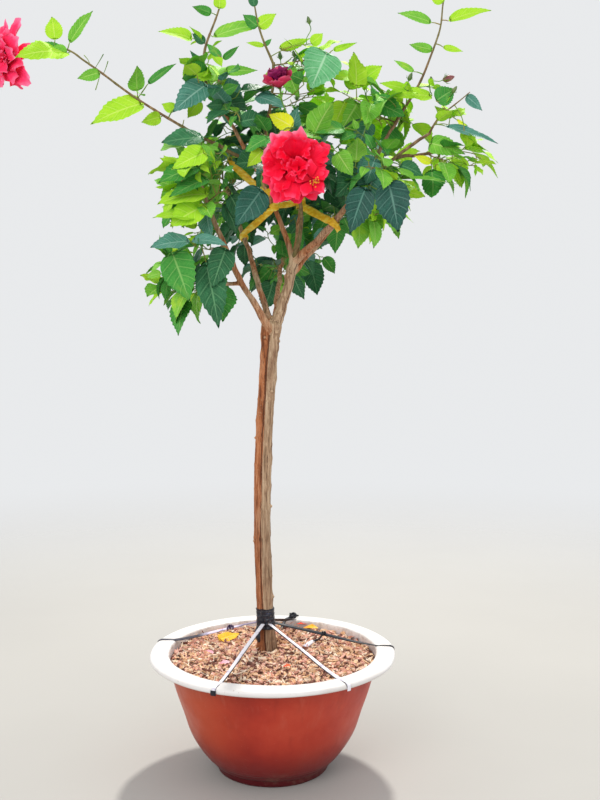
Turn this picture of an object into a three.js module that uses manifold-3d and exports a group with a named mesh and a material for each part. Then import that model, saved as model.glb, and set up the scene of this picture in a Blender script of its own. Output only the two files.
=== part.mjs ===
// Double red hibiscus grown as a standard in a wide bowl pot.
// Millimetres, +Z up. The origin is the centre of the pot's flat underside, and
// -Y faces the viewer. A bare trunk of two fused stems stands a little behind the
// middle of the pot, and divides into boughs that carry an open, uneven head of
// leaves with a few long shoots.
import * as THREE from "three";
import { mergeVertices } from "three/addons/utils/BufferGeometryUtils.js";
import Module from "manifold-3d";

const wasm = await Module();
wasm.setup();

// ---------- driving dimensions ----------
const CLEAR = 0.4; // gap left between pieces that touch
const TURN = 32; // facets round the pot

const POT_HEIGHT = 253.3;
const RIM_R = 260; // outer edge of the rim
const RIM_INNER_R = 219;
const RIM_DEPTH = 13; // height of the rim's outer face
const POT_WALL = 4;
const FOOT_R = 118;
const FOOT_HEIGHT = 18;
// outside of the bowl above its foot: [height, radius]
const BOWL = [
  [19, 124],
  [32, 140],
  [58, 160],
  [90, 177],
  [130, 190],
  [180, 207],
  [239.8, 223.5],
];
const MULCH_EDGE_Z = 234;
const MULCH_TOP_Z = 241; // flat middle, where the trunk stands
const MULCH_FLAT_R = 78;

const TRUNK_X = -13;
const TRUNK_Y = 25;
const HEAD = [-1, 24, 952]; // where the trunk divides
const TRUNK_BOW = [-15, 0, 0];
const STEM_LEFT = { x: -9.5, r: 8.5 }; // thin stem, in the trunk's own section
const STEM_RIGHT = { x: 6, r: 12 }; // thick stem
const FLARE = 0.34; // widening at the foot, as a share of the section
const FLARE_HEIGHT = 22;
const KNOB = 0.22; // widening at the head

const WRAP_Z = [291, 335];
const WRAP_THICK = 3.2;
const STRAP_WIDTH = 8;
const STRAP_THICK = 1.2;
const STRAP_START_Z = 303;
const STRAP_TURNS = [4, 78.6, 166, 245.6, 306]; // degrees from +X

// boughs: start, end, sideways bow in the middle, radius at each end, and the mass
// of leaves that each enters. Each is cut square against those above it in the list.
const BOUGHS = {
  bough_leader: [[3, 27, 936], [46, 58, 1088], [5, 0, 0], 11.2, 11, null],
  bough_low_left: [[-6, 22, 932], [-150, -30, 1245], [-12, -14, 0], 7.2, 4.6, "leaves_mid_left"],
  bough_high_left: [[-4, 27, 940], [-110, 200, 1260], [4, -12, 0], 6.6, 4.6, "leaves_back_left"],
  bough_right: [[45, 57, 1076], [190, -60, 1225], [0, 0, -9], 8.2, 5.6, "leaves_mid_right"],
  bough_centre: [[44, 58, 1078], [-120, 20, 1415], [16, 30, 0], 5.6, 3.8, "leaves_upper_left"],
  bough_middle: [[47, 60, 1078], [50, 240, 1360], [12, 0, 8], 6.2, 4.4, "leaves_back_centre"],
  bough_back_low: [[4, 32, 940], [20, 200, 1090], [0, 0, 10], 6.4, 4.6, "leaves_back_low"],
  bough_back_right: [[30, 48, 1040], [210, 190, 1270], [0, 0, -10], 6.8, 4.6, "leaves_back_right"],
  bough_side_left: [[-58, -2, 1030], [-170, -10, 1055], [0, 0, -12], 4.6, 3.4, "leaves_low_left"],
  shoot_far_left: [[-150, 2, 1330], [-392, -32, 1478], [0, 0, 4], 4.2, 2.8, "spray_far_left"],
  shoot_top_left: [[-140, 8, 1460], [-112, 0, 1560], [-4, 0, 0], 3.4, 2.4, "spray_top_left"],
  shoot_top_centre: [[4, 12, 1480], [-24, 0, 1582], [4, 0, 0], 3.2, 2.2, "spray_top_centre"],
  shoot_top_right: [[262, -36, 1370], [318, -50, 1566], [-10, 0, 0], 4.0, 2.4, "spray_top_right"],
  shoot_right: [[318, -64, 1325], [412, -100, 1432], [0, 0, -4], 3.6, 2.4, "spray_right"],
};

// masses of leaves: middle, half sizes, seed and fineness
const MASSES = {
  leaves_low_left: [[-170, -10, 1058], [80, 130, 96], 11, 3],
  leaves_mid_left: [[-150, -30, 1245], [98, 145, 92], 12, 3],
  leaves_upper_left: [[-115, 20, 1412], [92, 120, 78], 13, 3],
  leaves_centre: [[35, -95, 1278], [86, 108, 88], 14, 3],
  leaves_top_centre: [[52, 20, 1445], [86, 120, 78], 15, 3],
  leaves_mid_right: [[190, -60, 1225], [88, 130, 96], 16, 3],
  leaves_upper_right: [[232, 0, 1405], [98, 125, 84], 17, 3],
  leaves_far_right: [[358, -40, 1298], [84, 105, 92], 18, 3],
  leaves_back_left: [[-110, 200, 1260], [112, 105, 132], 19, 2],
  leaves_back_centre: [[50, 240, 1360], [104, 86, 120], 20, 2],
  leaves_back_right: [[210, 190, 1270], [114, 105, 130], 21, 2],
  leaves_back_low: [[20, 200, 1090], [112, 84, 78], 22, 2],
  spray_far_left: [[-392, -32, 1478], [92, 46, 56], 23, 2],
  bloom_far_left: [[-528, -50, 1476], [74, 66, 76], 24, 2],
  spray_top_left: [[-112, 0, 1574], [80, 62, 58], 25, 2],
  spray_top_centre: [[-24, 0, 1590], [44, 38, 40], 26, 2],
  spray_top_right: [[318, -50, 1578], [80, 64, 96], 27, 2],
  spray_right: [[414, -100, 1436], [40, 42, 38], 28, 2],
};
const LUMP = 0.15; // how uneven a mass is

// ribbons that draw boughs together: two ends, height of the band
const TIES = {
  tie_left: [[-64, 119, 1135], [3, 72, 1188], 12],
  tie_right: [[67, 133, 1200], [126, -4, 1148], 12],
};
const TIE_THICK = 1.6;

// ---------- finishes ----------
const finish = (color, roughness) =>
  new THREE.MeshStandardMaterial({ color, roughness, metalness: 0 });
const POT_RED = finish(0xb0402c, 0.42);
const RIM_WHITE = finish(0xf1ede6, 0.4);
const HUSK = finish(0x9a6a50, 0.95);
const BARK = finish(0x9a7a52, 0.9);
const BOUGH_BARK = finish(0x9c6238, 0.85);
const GREEN = finish(0x3f7f34, 0.5);
const YOUNG_GREEN = finish(0x86c02c, 0.5);
const PETAL_RED = finish(0xe0122c, 0.6);
const TAPE = finish(0x15171c, 0.5);
const STRAP_BLACK = finish(0x2b2c30, 0.35);
const RIBBON_YELLOW = finish(0xe8a818, 0.6);

// ---------- tools ----------
const V = (a) => new THREE.Vector3(...a);

function solid(geometry) {
  const bare = geometry.clone();
  for (const name of Object.keys(bare.attributes))
    if (name !== "position") bare.deleteAttribute(name);
  const merged = mergeVertices(bare, 1e-3);
  return new wasm.Manifold(
    new wasm.Mesh({
      numProp: 3,
      vertProperties: new Float32Array(merged.attributes.position.array),
      triVerts: new Uint32Array(merged.index.array),
    }),
  );
}

function geometryOf(manifold) {
  const mesh = manifold.getMesh();
  const places = new Float32Array(mesh.numVert * 3);
  for (let i = 0; i < mesh.numVert; i++)
    places.set(mesh.vertProperties.subarray(i * mesh.numProp, i * mesh.numProp + 3), i * 3);
  const g = new THREE.BufferGeometry();
  g.setAttribute("position", new THREE.BufferAttribute(places, 3));
  g.setIndex(new THREE.BufferAttribute(new Uint32Array(mesh.triVerts), 1));
  g.computeVertexNormals();
  return g;
}

const largest = (manifold) =>
  manifold.decompose().reduce((a, b) => (b.volume() > a.volume() ? b : a));

// A closed cylinder bent along a line. section(t, turn) gives its radius. Its
// sections are square to the line, or level where it is upright.
function bent(line, section, sides, steps, t0 = 0, t1 = 1, upright = false) {
  const g = new THREE.CylinderGeometry(1, 1, 1, sides, steps, false);
  const at = g.attributes.position;
  const step = 1e-3;
  for (let i = 0; i < at.count; i++) {
    const t = t0 + (t1 - t0) * (at.getY(i) + 0.5);
    const turn = Math.atan2(at.getX(i), at.getZ(i));
    const out = Math.hypot(at.getX(i), at.getZ(i));
    const along = upright
      ? new THREE.Vector3(0, 0, 1)
      : line(t + step).sub(line(t - step)).normalize();
    const across = new THREE.Vector3(1, 0, 0).addScaledVector(along, -along.x).normalize();
    const deep = new THREE.Vector3().crossVectors(along, across);
    const p = line(t)
      .addScaledVector(across, out * section(t, turn) * Math.cos(turn))
      .addScaledVector(deep, out * section(t, turn) * Math.sin(turn));
    at.setXYZ(i, p.x, p.y, p.z);
  }
  return g;
}

const bowed = (from, to, bow) => (t) =>
  V(from).lerp(V(to), t).addScaledVector(V(bow), Math.sin(Math.PI * t));

// ---------- pot ----------
// A turned profile of [radius, height] pairs.
function turned(profile) {
  const g = new THREE.LatheGeometry(profile.map(([r, z]) => new THREE.Vector2(r, z)), TURN);
  g.rotateX(Math.PI / 2);
  return g;
}
const wallInside = BOWL.map(([z, r]) => [r - POT_WALL, z]).slice(1);
const potProfile = [
  [0, 0],
  [FOOT_R - 1.5, 0],
  [FOOT_R + 0.5, 2],
  [FOOT_R + 3, FOOT_HEIGHT - 1],
  [FOOT_R + 2.4, FOOT_HEIGHT],
  ...BOWL.map(([z, r]) => [r, z]),
  ...[...wallInside].reverse(),
  [FOOT_R - 4, 9],
  [0, 6],
];
const rimBottom = POT_HEIGHT - RIM_DEPTH;
const rimProfile = [
  [RIM_INNER_R, rimBottom],
  [RIM_R - 4, rimBottom],
  [RIM_R - 1, rimBottom + 1.4],
  [RIM_R, rimBottom + 5],
  [RIM_R - 1.4, rimBottom + 8.6],
  [RIM_R - 6, rimBottom + 11.6],
  [RIM_R - 14, POT_HEIGHT - 0.2],
  [RIM_R - 26, POT_HEIGHT],
  [RIM_INNER_R + 4, POT_HEIGHT - 0.9],
  [RIM_INNER_R + 0.6, POT_HEIGHT - 3.6],
  [RIM_INNER_R, rimBottom],
];
const mulchProfile = [
  [0, 6 + CLEAR],
  [FOOT_R - 5, 9 + CLEAR * 2],
  ...wallInside.slice(0, -1).filter((_, i) => i !== 2).map(([r, z]) => [r - 1, z + 0.6]),
  [RIM_INNER_R - 2.3, MULCH_EDGE_Z],
  [150, MULCH_EDGE_Z + 4.4],
  [MULCH_FLAT_R, MULCH_TOP_Z],
  [0, MULCH_TOP_Z],
];

// ---------- trunk ----------
const trunkLine = bowed([TRUNK_X, TRUNK_Y, MULCH_TOP_Z + CLEAR], HEAD, TRUNK_BOW);
const trunkHeight = HEAD[2] - MULCH_TOP_Z;
// far side of a round stem, seen from the middle of the section
const reach = (stem, turn) => {
  const left = stem.r ** 2 - (stem.x * Math.sin(turn)) ** 2;
  return left > 0 ? stem.x * Math.cos(turn) + Math.sqrt(left) : 0;
};
function trunkSection(t, turn, grow = 0) {
  const up = t * trunkHeight;
  const twist = 0.12 * Math.sin(2.2 * Math.PI * t);
  const two = Math.max(reach(STEM_LEFT, turn + twist), reach(STEM_RIGHT, turn + twist), 6);
  const foot = 1 + FLARE * Math.exp(-up / FLARE_HEIGHT) * (1 + 0.25 * Math.sin(3 * turn));
  const head = 1 + KNOB * Math.exp(-((up - trunkHeight + 14) ** 2) / 500);
  return two * foot * head * (1 + 0.02 * Math.sin(19 * t + turn)) + grow;
}
const TRUNK_SIDES = 18;
const trunkPiece = (t0, t1, grow, steps) =>
  solid(bent(trunkLine, (t, turn) => trunkSection(t, turn, grow), TRUNK_SIDES, steps, t0, t1, true));
const past = (CLEAR * 1.1) / trunkHeight;
const trunk = trunkPiece(0, 1, 0, 16);
const grown = { trunk: trunkPiece(-past, 1 + past, CLEAR * 1.2, 16) };

// ---------- masses of leaves ----------
function waves(seed) {
  let state = seed * 9301 + 49297;
  const next = () => (state = (state * 9301 + 49297) % 233280) / 233280;
  for (let i = 0; i < 5; i++) next();
  return Array.from({ length: 6 }, (_, k) => ({
    way: new THREE.Vector3(next() - 0.5, next() - 0.5, next() - 0.5).normalize().multiplyScalar(2.2 + 1.5 * k),
    shift: next() * 6.28,
    size: LUMP / (1 + 0.35 * k),
  }));
}
const radial = (half, way) =>
  1 / Math.hypot(way.x / half[0], way.y / half[1], way.z / half[2]);

function massSolid(name, grow) {
  const [middle, half, seed, detail] = MASSES[name];
  const centre = V(middle);
  const g = mergeVertices(
    (() => {
      const ball = new THREE.IcosahedronGeometry(1, detail);
      ball.deleteAttribute("normal");
      ball.deleteAttribute("uv");
      return ball;
    })(),
    1e-4,
  );
  const lumps = waves(seed);
  // a flat wall between this mass and each neighbour keeps them apart
  const walls = Object.entries(MASSES)
    .filter(([other]) => other !== name)
    .map(([, [c]]) => c)
    .map((c, i) => {
      const others = Object.entries(MASSES).filter(([other]) => other !== name);
      const [, [, h]] = others[i];
      const way = V(c).sub(centre);
      const far = way.length();
      way.normalize();
      const mine = radial(half, way);
      const theirs = radial(h, way);
      return { way, at: (far * mine) / (mine + theirs) - 0.5 };
    });
  const at = g.attributes.position;
  for (let i = 0; i < at.count; i++) {
    const d = new THREE.Vector3().fromBufferAttribute(at, i).normalize();
    const swell = 1 + lumps.reduce((s, w) => s + w.size * Math.sin(w.way.dot(d) + w.shift), 0) * 0.8;
    const v = new THREE.Vector3(d.x * half[0], d.y * half[1], d.z * half[2]).multiplyScalar(Math.max(swell, 0.6));
    v.addScaledVector(v.clone().normalize(), grow);
    for (const { way, at: wall } of walls) {
      const reached = v.dot(way);
      if (reached > wall + grow) v.multiplyScalar((wall + grow) / reached);
    }
    at.setXYZ(i, v.x + centre.x, v.y + centre.y, v.z + centre.z);
  }
  return solid(g);
}

// ---------- boughs ----------
const solids = {};
for (const [name, [from, to, bow, r0, r1]] of Object.entries(BOUGHS)) {
  const line = bowed(from, to, bow);
  const long = V(from).distanceTo(V(to));
  const steps = Math.max(3, Math.round(long / 44));
  const swell = (t) => r0 + (r1 - r0) * t + 0.35 * r0 * Math.exp(-t * 9);
  const sides = r0 > 5 ? 8 : 6;
  const extra = CLEAR / long;
  solids[name] = solid(bent(line, swell, sides, steps));
  grown[name] = solid(bent(line, (t) => swell(t) + CLEAR * 1.2, sides, steps, -extra, 1 + extra));
}
// a bough starts where it leaves the limb that bears it
Object.keys(BOUGHS).forEach((name, i, all) => {
  for (const parent of ["trunk", ...all.slice(0, i)])
    if (solids[name].intersect(grown[parent]).volume() > 0)
      solids[name] = largest(solids[name].subtract(grown[parent]));
});

const masses = {};
const grownMasses = {};
for (const name of Object.keys(MASSES)) {
  masses[name] = massSolid(name, 0);
  grownMasses[name] = massSolid(name, CLEAR);
}
// it ends where it enters its own mass of leaves, a shoot starts where it leaves
// one, and any other mass that a bough passes gives way to it
for (const [name, [, , , , , into]] of Object.entries(BOUGHS)) {
  for (const other of Object.keys(MASSES)) {
    const shares = solids[name].intersect(masses[other]).volume() > 0;
    if (other === into || (shares && name.startsWith("shoot")))
      solids[name] = largest(solids[name].subtract(grownMasses[other]));
    else if (shares) masses[other] = largest(masses[other].subtract(grown[name]));
  }
}

// ---------- wrap, straps and ties ----------
const level = (z) => (z - MULCH_TOP_Z - CLEAR) / (HEAD[2] - MULCH_TOP_Z - CLEAR);
const wrapFull = (grow) => trunkPiece(level(WRAP_Z[0] - grow), level(WRAP_Z[1] + grow), WRAP_THICK + grow, 1);
const wrap = wrapFull(0).subtract(grown.trunk);

// A flat strap from the wrap, out over the rim and down its outer face.
function strap(degrees) {
  const turn = THREE.MathUtils.degToRad(degrees);
  const start = trunkLine(level(STRAP_START_Z));
  const goal = new THREE.Vector2(RIM_R * Math.cos(turn), RIM_R * Math.sin(turn));
  const way = goal.clone().sub(new THREE.Vector2(start.x, start.y)).normalize();
  const along = start.x * way.x + start.y * way.y;
  const off = start.x ** 2 + start.y ** 2 - along ** 2;
  const to = (r) => -along + Math.sqrt(r * r - off);
  const up = STRAP_THICK / 2 + 0.5;
  const path = [
    [4, STRAP_START_Z + 1],
    [to(RIM_INNER_R + 3), POT_HEIGHT - 0.9 + up + 0.6],
    [to(RIM_R - 26), POT_HEIGHT + up],
    [to(RIM_R - 13), POT_HEIGHT - 0.2 + up],
    [to(RIM_R - 5.4), rimBottom + 12 + up],
    [to(RIM_R) + up + 0.2, rimBottom + 7.4],
    [to(RIM_R) + up + 0.2, rimBottom - 2],
  ].map(([s, z]) => new THREE.Vector2(s, z));
  const side = (k, sign) => {
    const before = path[Math.max(k - 1, 0)];
    const after = path[Math.min(k + 1, path.length - 1)];
    const t = after.clone().sub(before).normalize();
    return path[k].clone().add(new THREE.Vector2(-t.y, t.x).multiplyScalar((sign * STRAP_THICK) / 2));
  };
  const outline = new THREE.Shape([
    ...path.map((_, k) => side(k, -1)),
    ...path.map((_, k) => side(path.length - 1 - k, 1)),
  ]);
  const g = new THREE.ExtrudeGeometry(outline, { depth: STRAP_WIDTH, bevelEnabled: false, steps: 1 });
  g.translate(0, 0, -STRAP_WIDTH / 2);
  const basis = new THREE.Matrix4().makeBasis(
    new THREE.Vector3(way.x, way.y, 0),
    new THREE.Vector3(0, 0, 1),
    new THREE.Vector3(way.y, -way.x, 0),
  );
  g.applyMatrix4(basis.setPosition(start.x, start.y, 0));
  return largest(solid(g).subtract(wrapFull(CLEAR)));
}

function tie([from, to, band]) {
  const way = V(to).sub(V(from));
  const g = new THREE.BoxGeometry(way.length(), TIE_THICK, band, 6, 1, 1);
  const ahead = way.clone().normalize();
  const flat = new THREE.Vector3(0, 0, 1).cross(ahead).normalize();
  const upright = new THREE.Vector3().crossVectors(ahead, flat);
  const middle = V(from).add(V(to)).multiplyScalar(0.5);
  g.applyMatrix4(new THREE.Matrix4().makeBasis(ahead, flat, upright).setPosition(middle));
  let piece = solid(g);
  for (const limb of Object.keys(BOUGHS)) piece = piece.subtract(grown[limb]);
  return largest(piece);
}
const ties = {};
for (const [name, sizes] of Object.entries(TIES)) {
  ties[name] = tie(sizes);
  for (const mass of Object.keys(masses)) {
    if (ties[name].intersect(masses[mass]).volume() > 0)
      ties[name] = largest(ties[name].subtract(grownMasses[mass]));
  }
}

// ---------- assembly ----------
const plant = new THREE.Group();
function add(name, geometry, material) {
  const mesh = new THREE.Mesh(geometry, material.clone());
  mesh.name = name;
  plant.add(mesh);
}

add("pot_body", turned(potProfile), POT_RED);
add("pot_rim", turned(rimProfile), RIM_WHITE);
add("mulch_bed", turned(mulchProfile), HUSK);
add("trunk", geometryOf(trunk), BARK);
for (const name of Object.keys(BOUGHS)) add(name, geometryOf(solids[name]), BOUGH_BARK);
for (const name of Object.keys(MASSES))
  add(name, geometryOf(masses[name]), name.startsWith("bloom") ? PETAL_RED : name.startsWith("spray") ? YOUNG_GREEN : GREEN);
add("trunk_wrap", geometryOf(wrap), TAPE);
STRAP_TURNS.forEach((turn, i) => add("strap_" + (i + 1), geometryOf(strap(turn)), STRAP_BLACK));
for (const name of Object.keys(TIES)) add(name, geometryOf(ties[name]), RIBBON_YELLOW);

export default plant;
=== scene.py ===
# Double red hibiscus grown as a standard in a wide bowl pot: fine meshes and
# finishes. Metres, +Z up, and -Y faces the viewer.
import bpy
import math
import numpy as np
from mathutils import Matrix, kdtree


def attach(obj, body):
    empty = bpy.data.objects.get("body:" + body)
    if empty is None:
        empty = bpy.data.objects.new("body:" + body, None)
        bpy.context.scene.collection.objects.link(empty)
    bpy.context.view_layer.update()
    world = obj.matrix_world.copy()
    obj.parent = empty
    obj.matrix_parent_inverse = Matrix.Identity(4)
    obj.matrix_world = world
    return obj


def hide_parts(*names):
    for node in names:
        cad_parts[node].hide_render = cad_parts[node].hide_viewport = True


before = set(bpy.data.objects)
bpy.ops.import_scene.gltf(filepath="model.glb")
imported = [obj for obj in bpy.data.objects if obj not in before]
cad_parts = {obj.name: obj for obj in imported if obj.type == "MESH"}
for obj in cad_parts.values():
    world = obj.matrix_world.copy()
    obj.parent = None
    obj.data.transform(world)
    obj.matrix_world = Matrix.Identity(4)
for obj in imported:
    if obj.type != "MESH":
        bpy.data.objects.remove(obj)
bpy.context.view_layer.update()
scene = bpy.context.scene
MM = 0.001

# ---------------------------------------------------------------- camera
EYE = np.array([0.0581, -2.2108, 0.9759])
PITCH = 0.0856
FOCAL = 1060.0  # in pixels of the 600 x 800 frame

cam = bpy.data.cameras.new("camera")
cam.lens, cam.sensor_width, cam.sensor_fit = 47.7, 36.0, "AUTO"
cam.clip_start, cam.clip_end = 0.05, 100.0
cam_obj = bpy.data.objects.new("camera", cam)
cam_obj.location = EYE
cam_obj.rotation_euler = (math.pi / 2 - PITCH, 0, 0)
scene.collection.objects.link(cam_obj)
scene.camera = cam_obj


def at(px, py, depth):
    """The place at that distance along +Y which the frame shows at px, py."""
    ray = np.array([(px - 300) / FOCAL, 0, 0]) + np.array([0, math.cos(PITCH), -math.sin(PITCH)])
    ray = ray + np.array([0, math.sin(PITCH), math.cos(PITCH)]) * (400 - py) / FOCAL
    return EYE + ray * (depth - EYE[1]) / ray[1]


def seen_at(p):
    """Where the frame shows a place, as px, py."""
    d = np.asarray(p, float) - EYE
    ahead = d @ np.array([0, math.cos(PITCH), -math.sin(PITCH)])
    up = d @ np.array([0, math.sin(PITCH), math.cos(PITCH)])
    return np.stack([300 + FOCAL * d[..., 0] / ahead, 400 - FOCAL * up / ahead], -1)


# ---------------------------------------------------------------- number tools
def unit(v):
    v = np.asarray(v, float)
    return v / np.maximum(np.linalg.norm(v, axis=-1, keepdims=True), 1e-12)


def lattice(i, j, k, seed):
    h = (i * 73856093) ^ (j * 19349663) ^ (k * 83492791) ^ (seed * 26544357 + 1013)
    h = h & 0xFFFFFFFF
    h = ((h ^ (h >> 13)) * 1274126177) & 0xFFFFFFFF
    h = ((h ^ (h >> 15)) * 668265263) & 0xFFFFFFFF
    h = h ^ (h >> 16)
    return (h & 0xFFFF) / 32767.5 - 1.0


def noise3(p, seed=0):
    """Smooth noise from -1 to 1 at each point."""
    p = np.asarray(p, float)
    i = np.floor(p).astype(np.int64)
    f = p - i
    u = f * f * (3 - 2 * f)
    total = 0.0
    for a in (0, 1):
        for b in (0, 1):
            for c in (0, 1):
                w = (u[..., 0] if a else 1 - u[..., 0]) * (u[..., 1] if b else 1 - u[..., 1]) * (u[..., 2] if c else 1 - u[..., 2])
                total = total + w * lattice(i[..., 0] + a, i[..., 1] + b, i[..., 2] + c, seed)
    return total


def fbm(p, seed=0, octaves=3):
    p = np.asarray(p, float)
    total, size = 0.0, 1.0
    for k in range(octaves):
        total = total + size * noise3(p * (2.03 ** k), seed + 17 * k)
        size *= 0.5
    return total


def catmull(points, per=6):
    """A smooth line through the points."""
    p = np.asarray(points, float)
    e = np.vstack([2 * p[0] - p[1], p, 2 * p[-1] - p[-2]])
    out = []
    for k in range(len(p) - 1):
        a, b, c, d = e[k:k + 4]
        t = np.linspace(0, 1, per, endpoint=False)[:, None]
        out.append(0.5 * (2 * b + (c - a) * t + (2 * a - 5 * b + 4 * c - d) * t ** 2 + (3 * b - a - 3 * c + d) * t ** 3))
    return np.vstack(out + [p[-1:]])


def sides_along(points):
    """Tangents and two side directions that don't twist."""
    p = np.asarray(points, float)
    t = unit(np.gradient(p, axis=0))
    a = np.zeros_like(p)
    seed = np.array([1.0, 0, 0]) if abs(t[0, 0]) < 0.8 else np.array([0, 1.0, 0])
    for k in range(len(p)):
        seed = unit(seed - t[k] * np.dot(seed, t[k]))
        a[k] = seed
    return t, a, np.cross(t, a)


def srgb(text):
    out = []
    for k in (0, 2, 4):
        c = int(text[k:k + 2], 16) / 255
        out.append(c / 12.92 if c <= 0.04045 else ((c + 0.055) / 1.055) ** 2.4)
    return (*out, 1.0)


# ---------------------------------------------------------------- mesh tools
class Bag:
    """Vertices, faces and pattern places gathered for one joined piece."""

    def __init__(self):
        self.v, self.f, self.uv, self.m, self.count = [], [], [], [], 0

    def add(self, v, f, uv=None, m=0):
        v = np.asarray(v, float).reshape(-1, 3)
        f = np.asarray(f, np.int64)
        if f.shape[1] == 3:
            f = np.hstack([f, np.full((len(f), 1), -1)])
        self.v.append(v)
        self.f.append(np.where(f >= 0, f + self.count, -1))
        self.uv.append(np.zeros((len(v), 2)) if uv is None else np.asarray(uv, float).reshape(-1, 2))
        self.m.append(np.full(len(f), m, np.int32))
        self.count += len(v)

    def many(self, v, f, uv, m=0):
        """The same faces for each of several sets of vertices: v is (count, vertices, 3)."""
        n, k = v.shape[:2]
        f = np.asarray(f, np.int64)
        if f.shape[1] == 3:
            f = np.hstack([f, np.full((len(f), 1), -1)])
        step = (np.arange(n) * k)[:, None, None]
        all_f = np.where(f[None] >= 0, f[None] + step, -1).reshape(-1, 4)
        self.add(v.reshape(-1, 3), all_f, np.asarray(uv).reshape(-1, 2), m)

    def build(self, name, materials, slot, smooth=True, pattern=True):
        v, f = np.vstack(self.v), np.vstack(self.f)
        uv, m = np.vstack(self.uv), np.concatenate(self.m)
        me = bpy.data.meshes.new(name)
        me.vertices.add(len(v))
        me.vertices.foreach_set("co", v.astype(np.float32).ravel())
        flat = f.ravel()
        loops = flat[flat >= 0].astype(np.int32)
        sizes = np.where(f[:, 3] < 0, 3, 4)
        start = np.concatenate([[0], np.cumsum(sizes)[:-1]]).astype(np.int32)
        me.loops.add(len(loops))
        me.loops.foreach_set("vertex_index", loops)
        me.polygons.add(len(f))
        me.polygons.foreach_set("loop_start", start)
        me.polygons.foreach_set("material_index", m)
        me.polygons.foreach_set("use_smooth", np.full(len(f), smooth))
        if pattern:
            layer = me.uv_layers.new(name="OFBake")
            layer.data.foreach_set("uv", uv[loops].astype(np.float32).ravel())
        me.update(calc_edges=True)
        me.validate()
        for mat in materials:
            me.materials.append(mat)
        obj = bpy.data.objects.new(name, me)
        scene.collection.objects.link(obj)
        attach(obj, "root")
        return obj


def ring_faces(rows, cols, around=True):
    i = np.arange(rows - 1)[:, None]
    j = np.arange(cols if around else cols - 1)[None, :]
    k = (j + 1) % cols
    return np.stack([i * cols + j, i * cols + k, (i + 1) * cols + k, (i + 1) * cols + j], -1).reshape(-1, 4)


def tube(bag, points, radii, sides=8, m=0, shape=None, turns=1.0):
    """A closed round limb. shape(row, angle) may scale its section."""
    p = np.asarray(points, float)
    r = np.broadcast_to(np.asarray(radii, float), (len(p),))
    _, a, b = sides_along(p)
    ang = np.linspace(0, 2 * math.pi, sides, endpoint=False)
    size = r[:, None] * (np.ones((len(p), sides)) if shape is None else shape(np.arange(len(p))[:, None], ang[None]))
    ring = p[:, None] + size[..., None] * (a[:, None] * np.cos(ang)[None, :, None] + b[:, None] * np.sin(ang)[None, :, None])
    v = np.vstack([ring.reshape(-1, 3), p[:1], p[-1:]])
    n = len(p) * sides
    j = np.arange(sides)
    k = (j + 1) % sides
    first = np.stack([np.full(sides, n), k, j], -1)
    last = np.stack([np.full(sides, n + 1), n - sides + j, n - sides + k], -1)
    along = np.concatenate([[0], np.cumsum(np.linalg.norm(np.diff(p, axis=0), axis=1))])
    along = along / max(along[-1], 1e-9)
    uv = np.stack(np.broadcast_arrays((ang / (2 * math.pi))[None], along[:, None]), -1).reshape(-1, 2)
    uv = np.vstack([uv, [[0.5, 0], [0.5, 1]]])
    faces = ring_faces(len(p), sides)
    tri = np.vstack([first, last])
    bag.add(v, np.vstack([faces, np.hstack([tri, np.full((len(tri), 1), -1)])]), uv, m)


def lathe(bag, profile, turns=256, m=0, wobble=None):
    """A turned shape from [radius, height] in metres, made of rings of faces only, with no caps at its ends."""
    p = np.asarray(profile, float)
    ang = np.linspace(0, 2 * math.pi, turns, endpoint=False)
    r = p[:, 0][:, None] * np.ones(turns)[None]
    z = p[:, 1][:, None] * np.ones(turns)[None]
    if wobble is not None:
        dr, dz = wobble(r, ang[None] * np.ones_like(r), z)
        r, z = r + dr, z + dz
    v = np.stack([r * np.cos(ang), r * np.sin(ang), z], -1).reshape(-1, 3)
    along = np.concatenate([[0], np.cumsum(np.linalg.norm(np.diff(p, axis=0), axis=1))])
    uv = np.stack(np.broadcast_arrays(ang[None] / (2 * math.pi), (along / along[-1])[:, None]), -1).reshape(-1, 2)
    bag.add(v, ring_faces(len(p), turns), uv, m)


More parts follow.
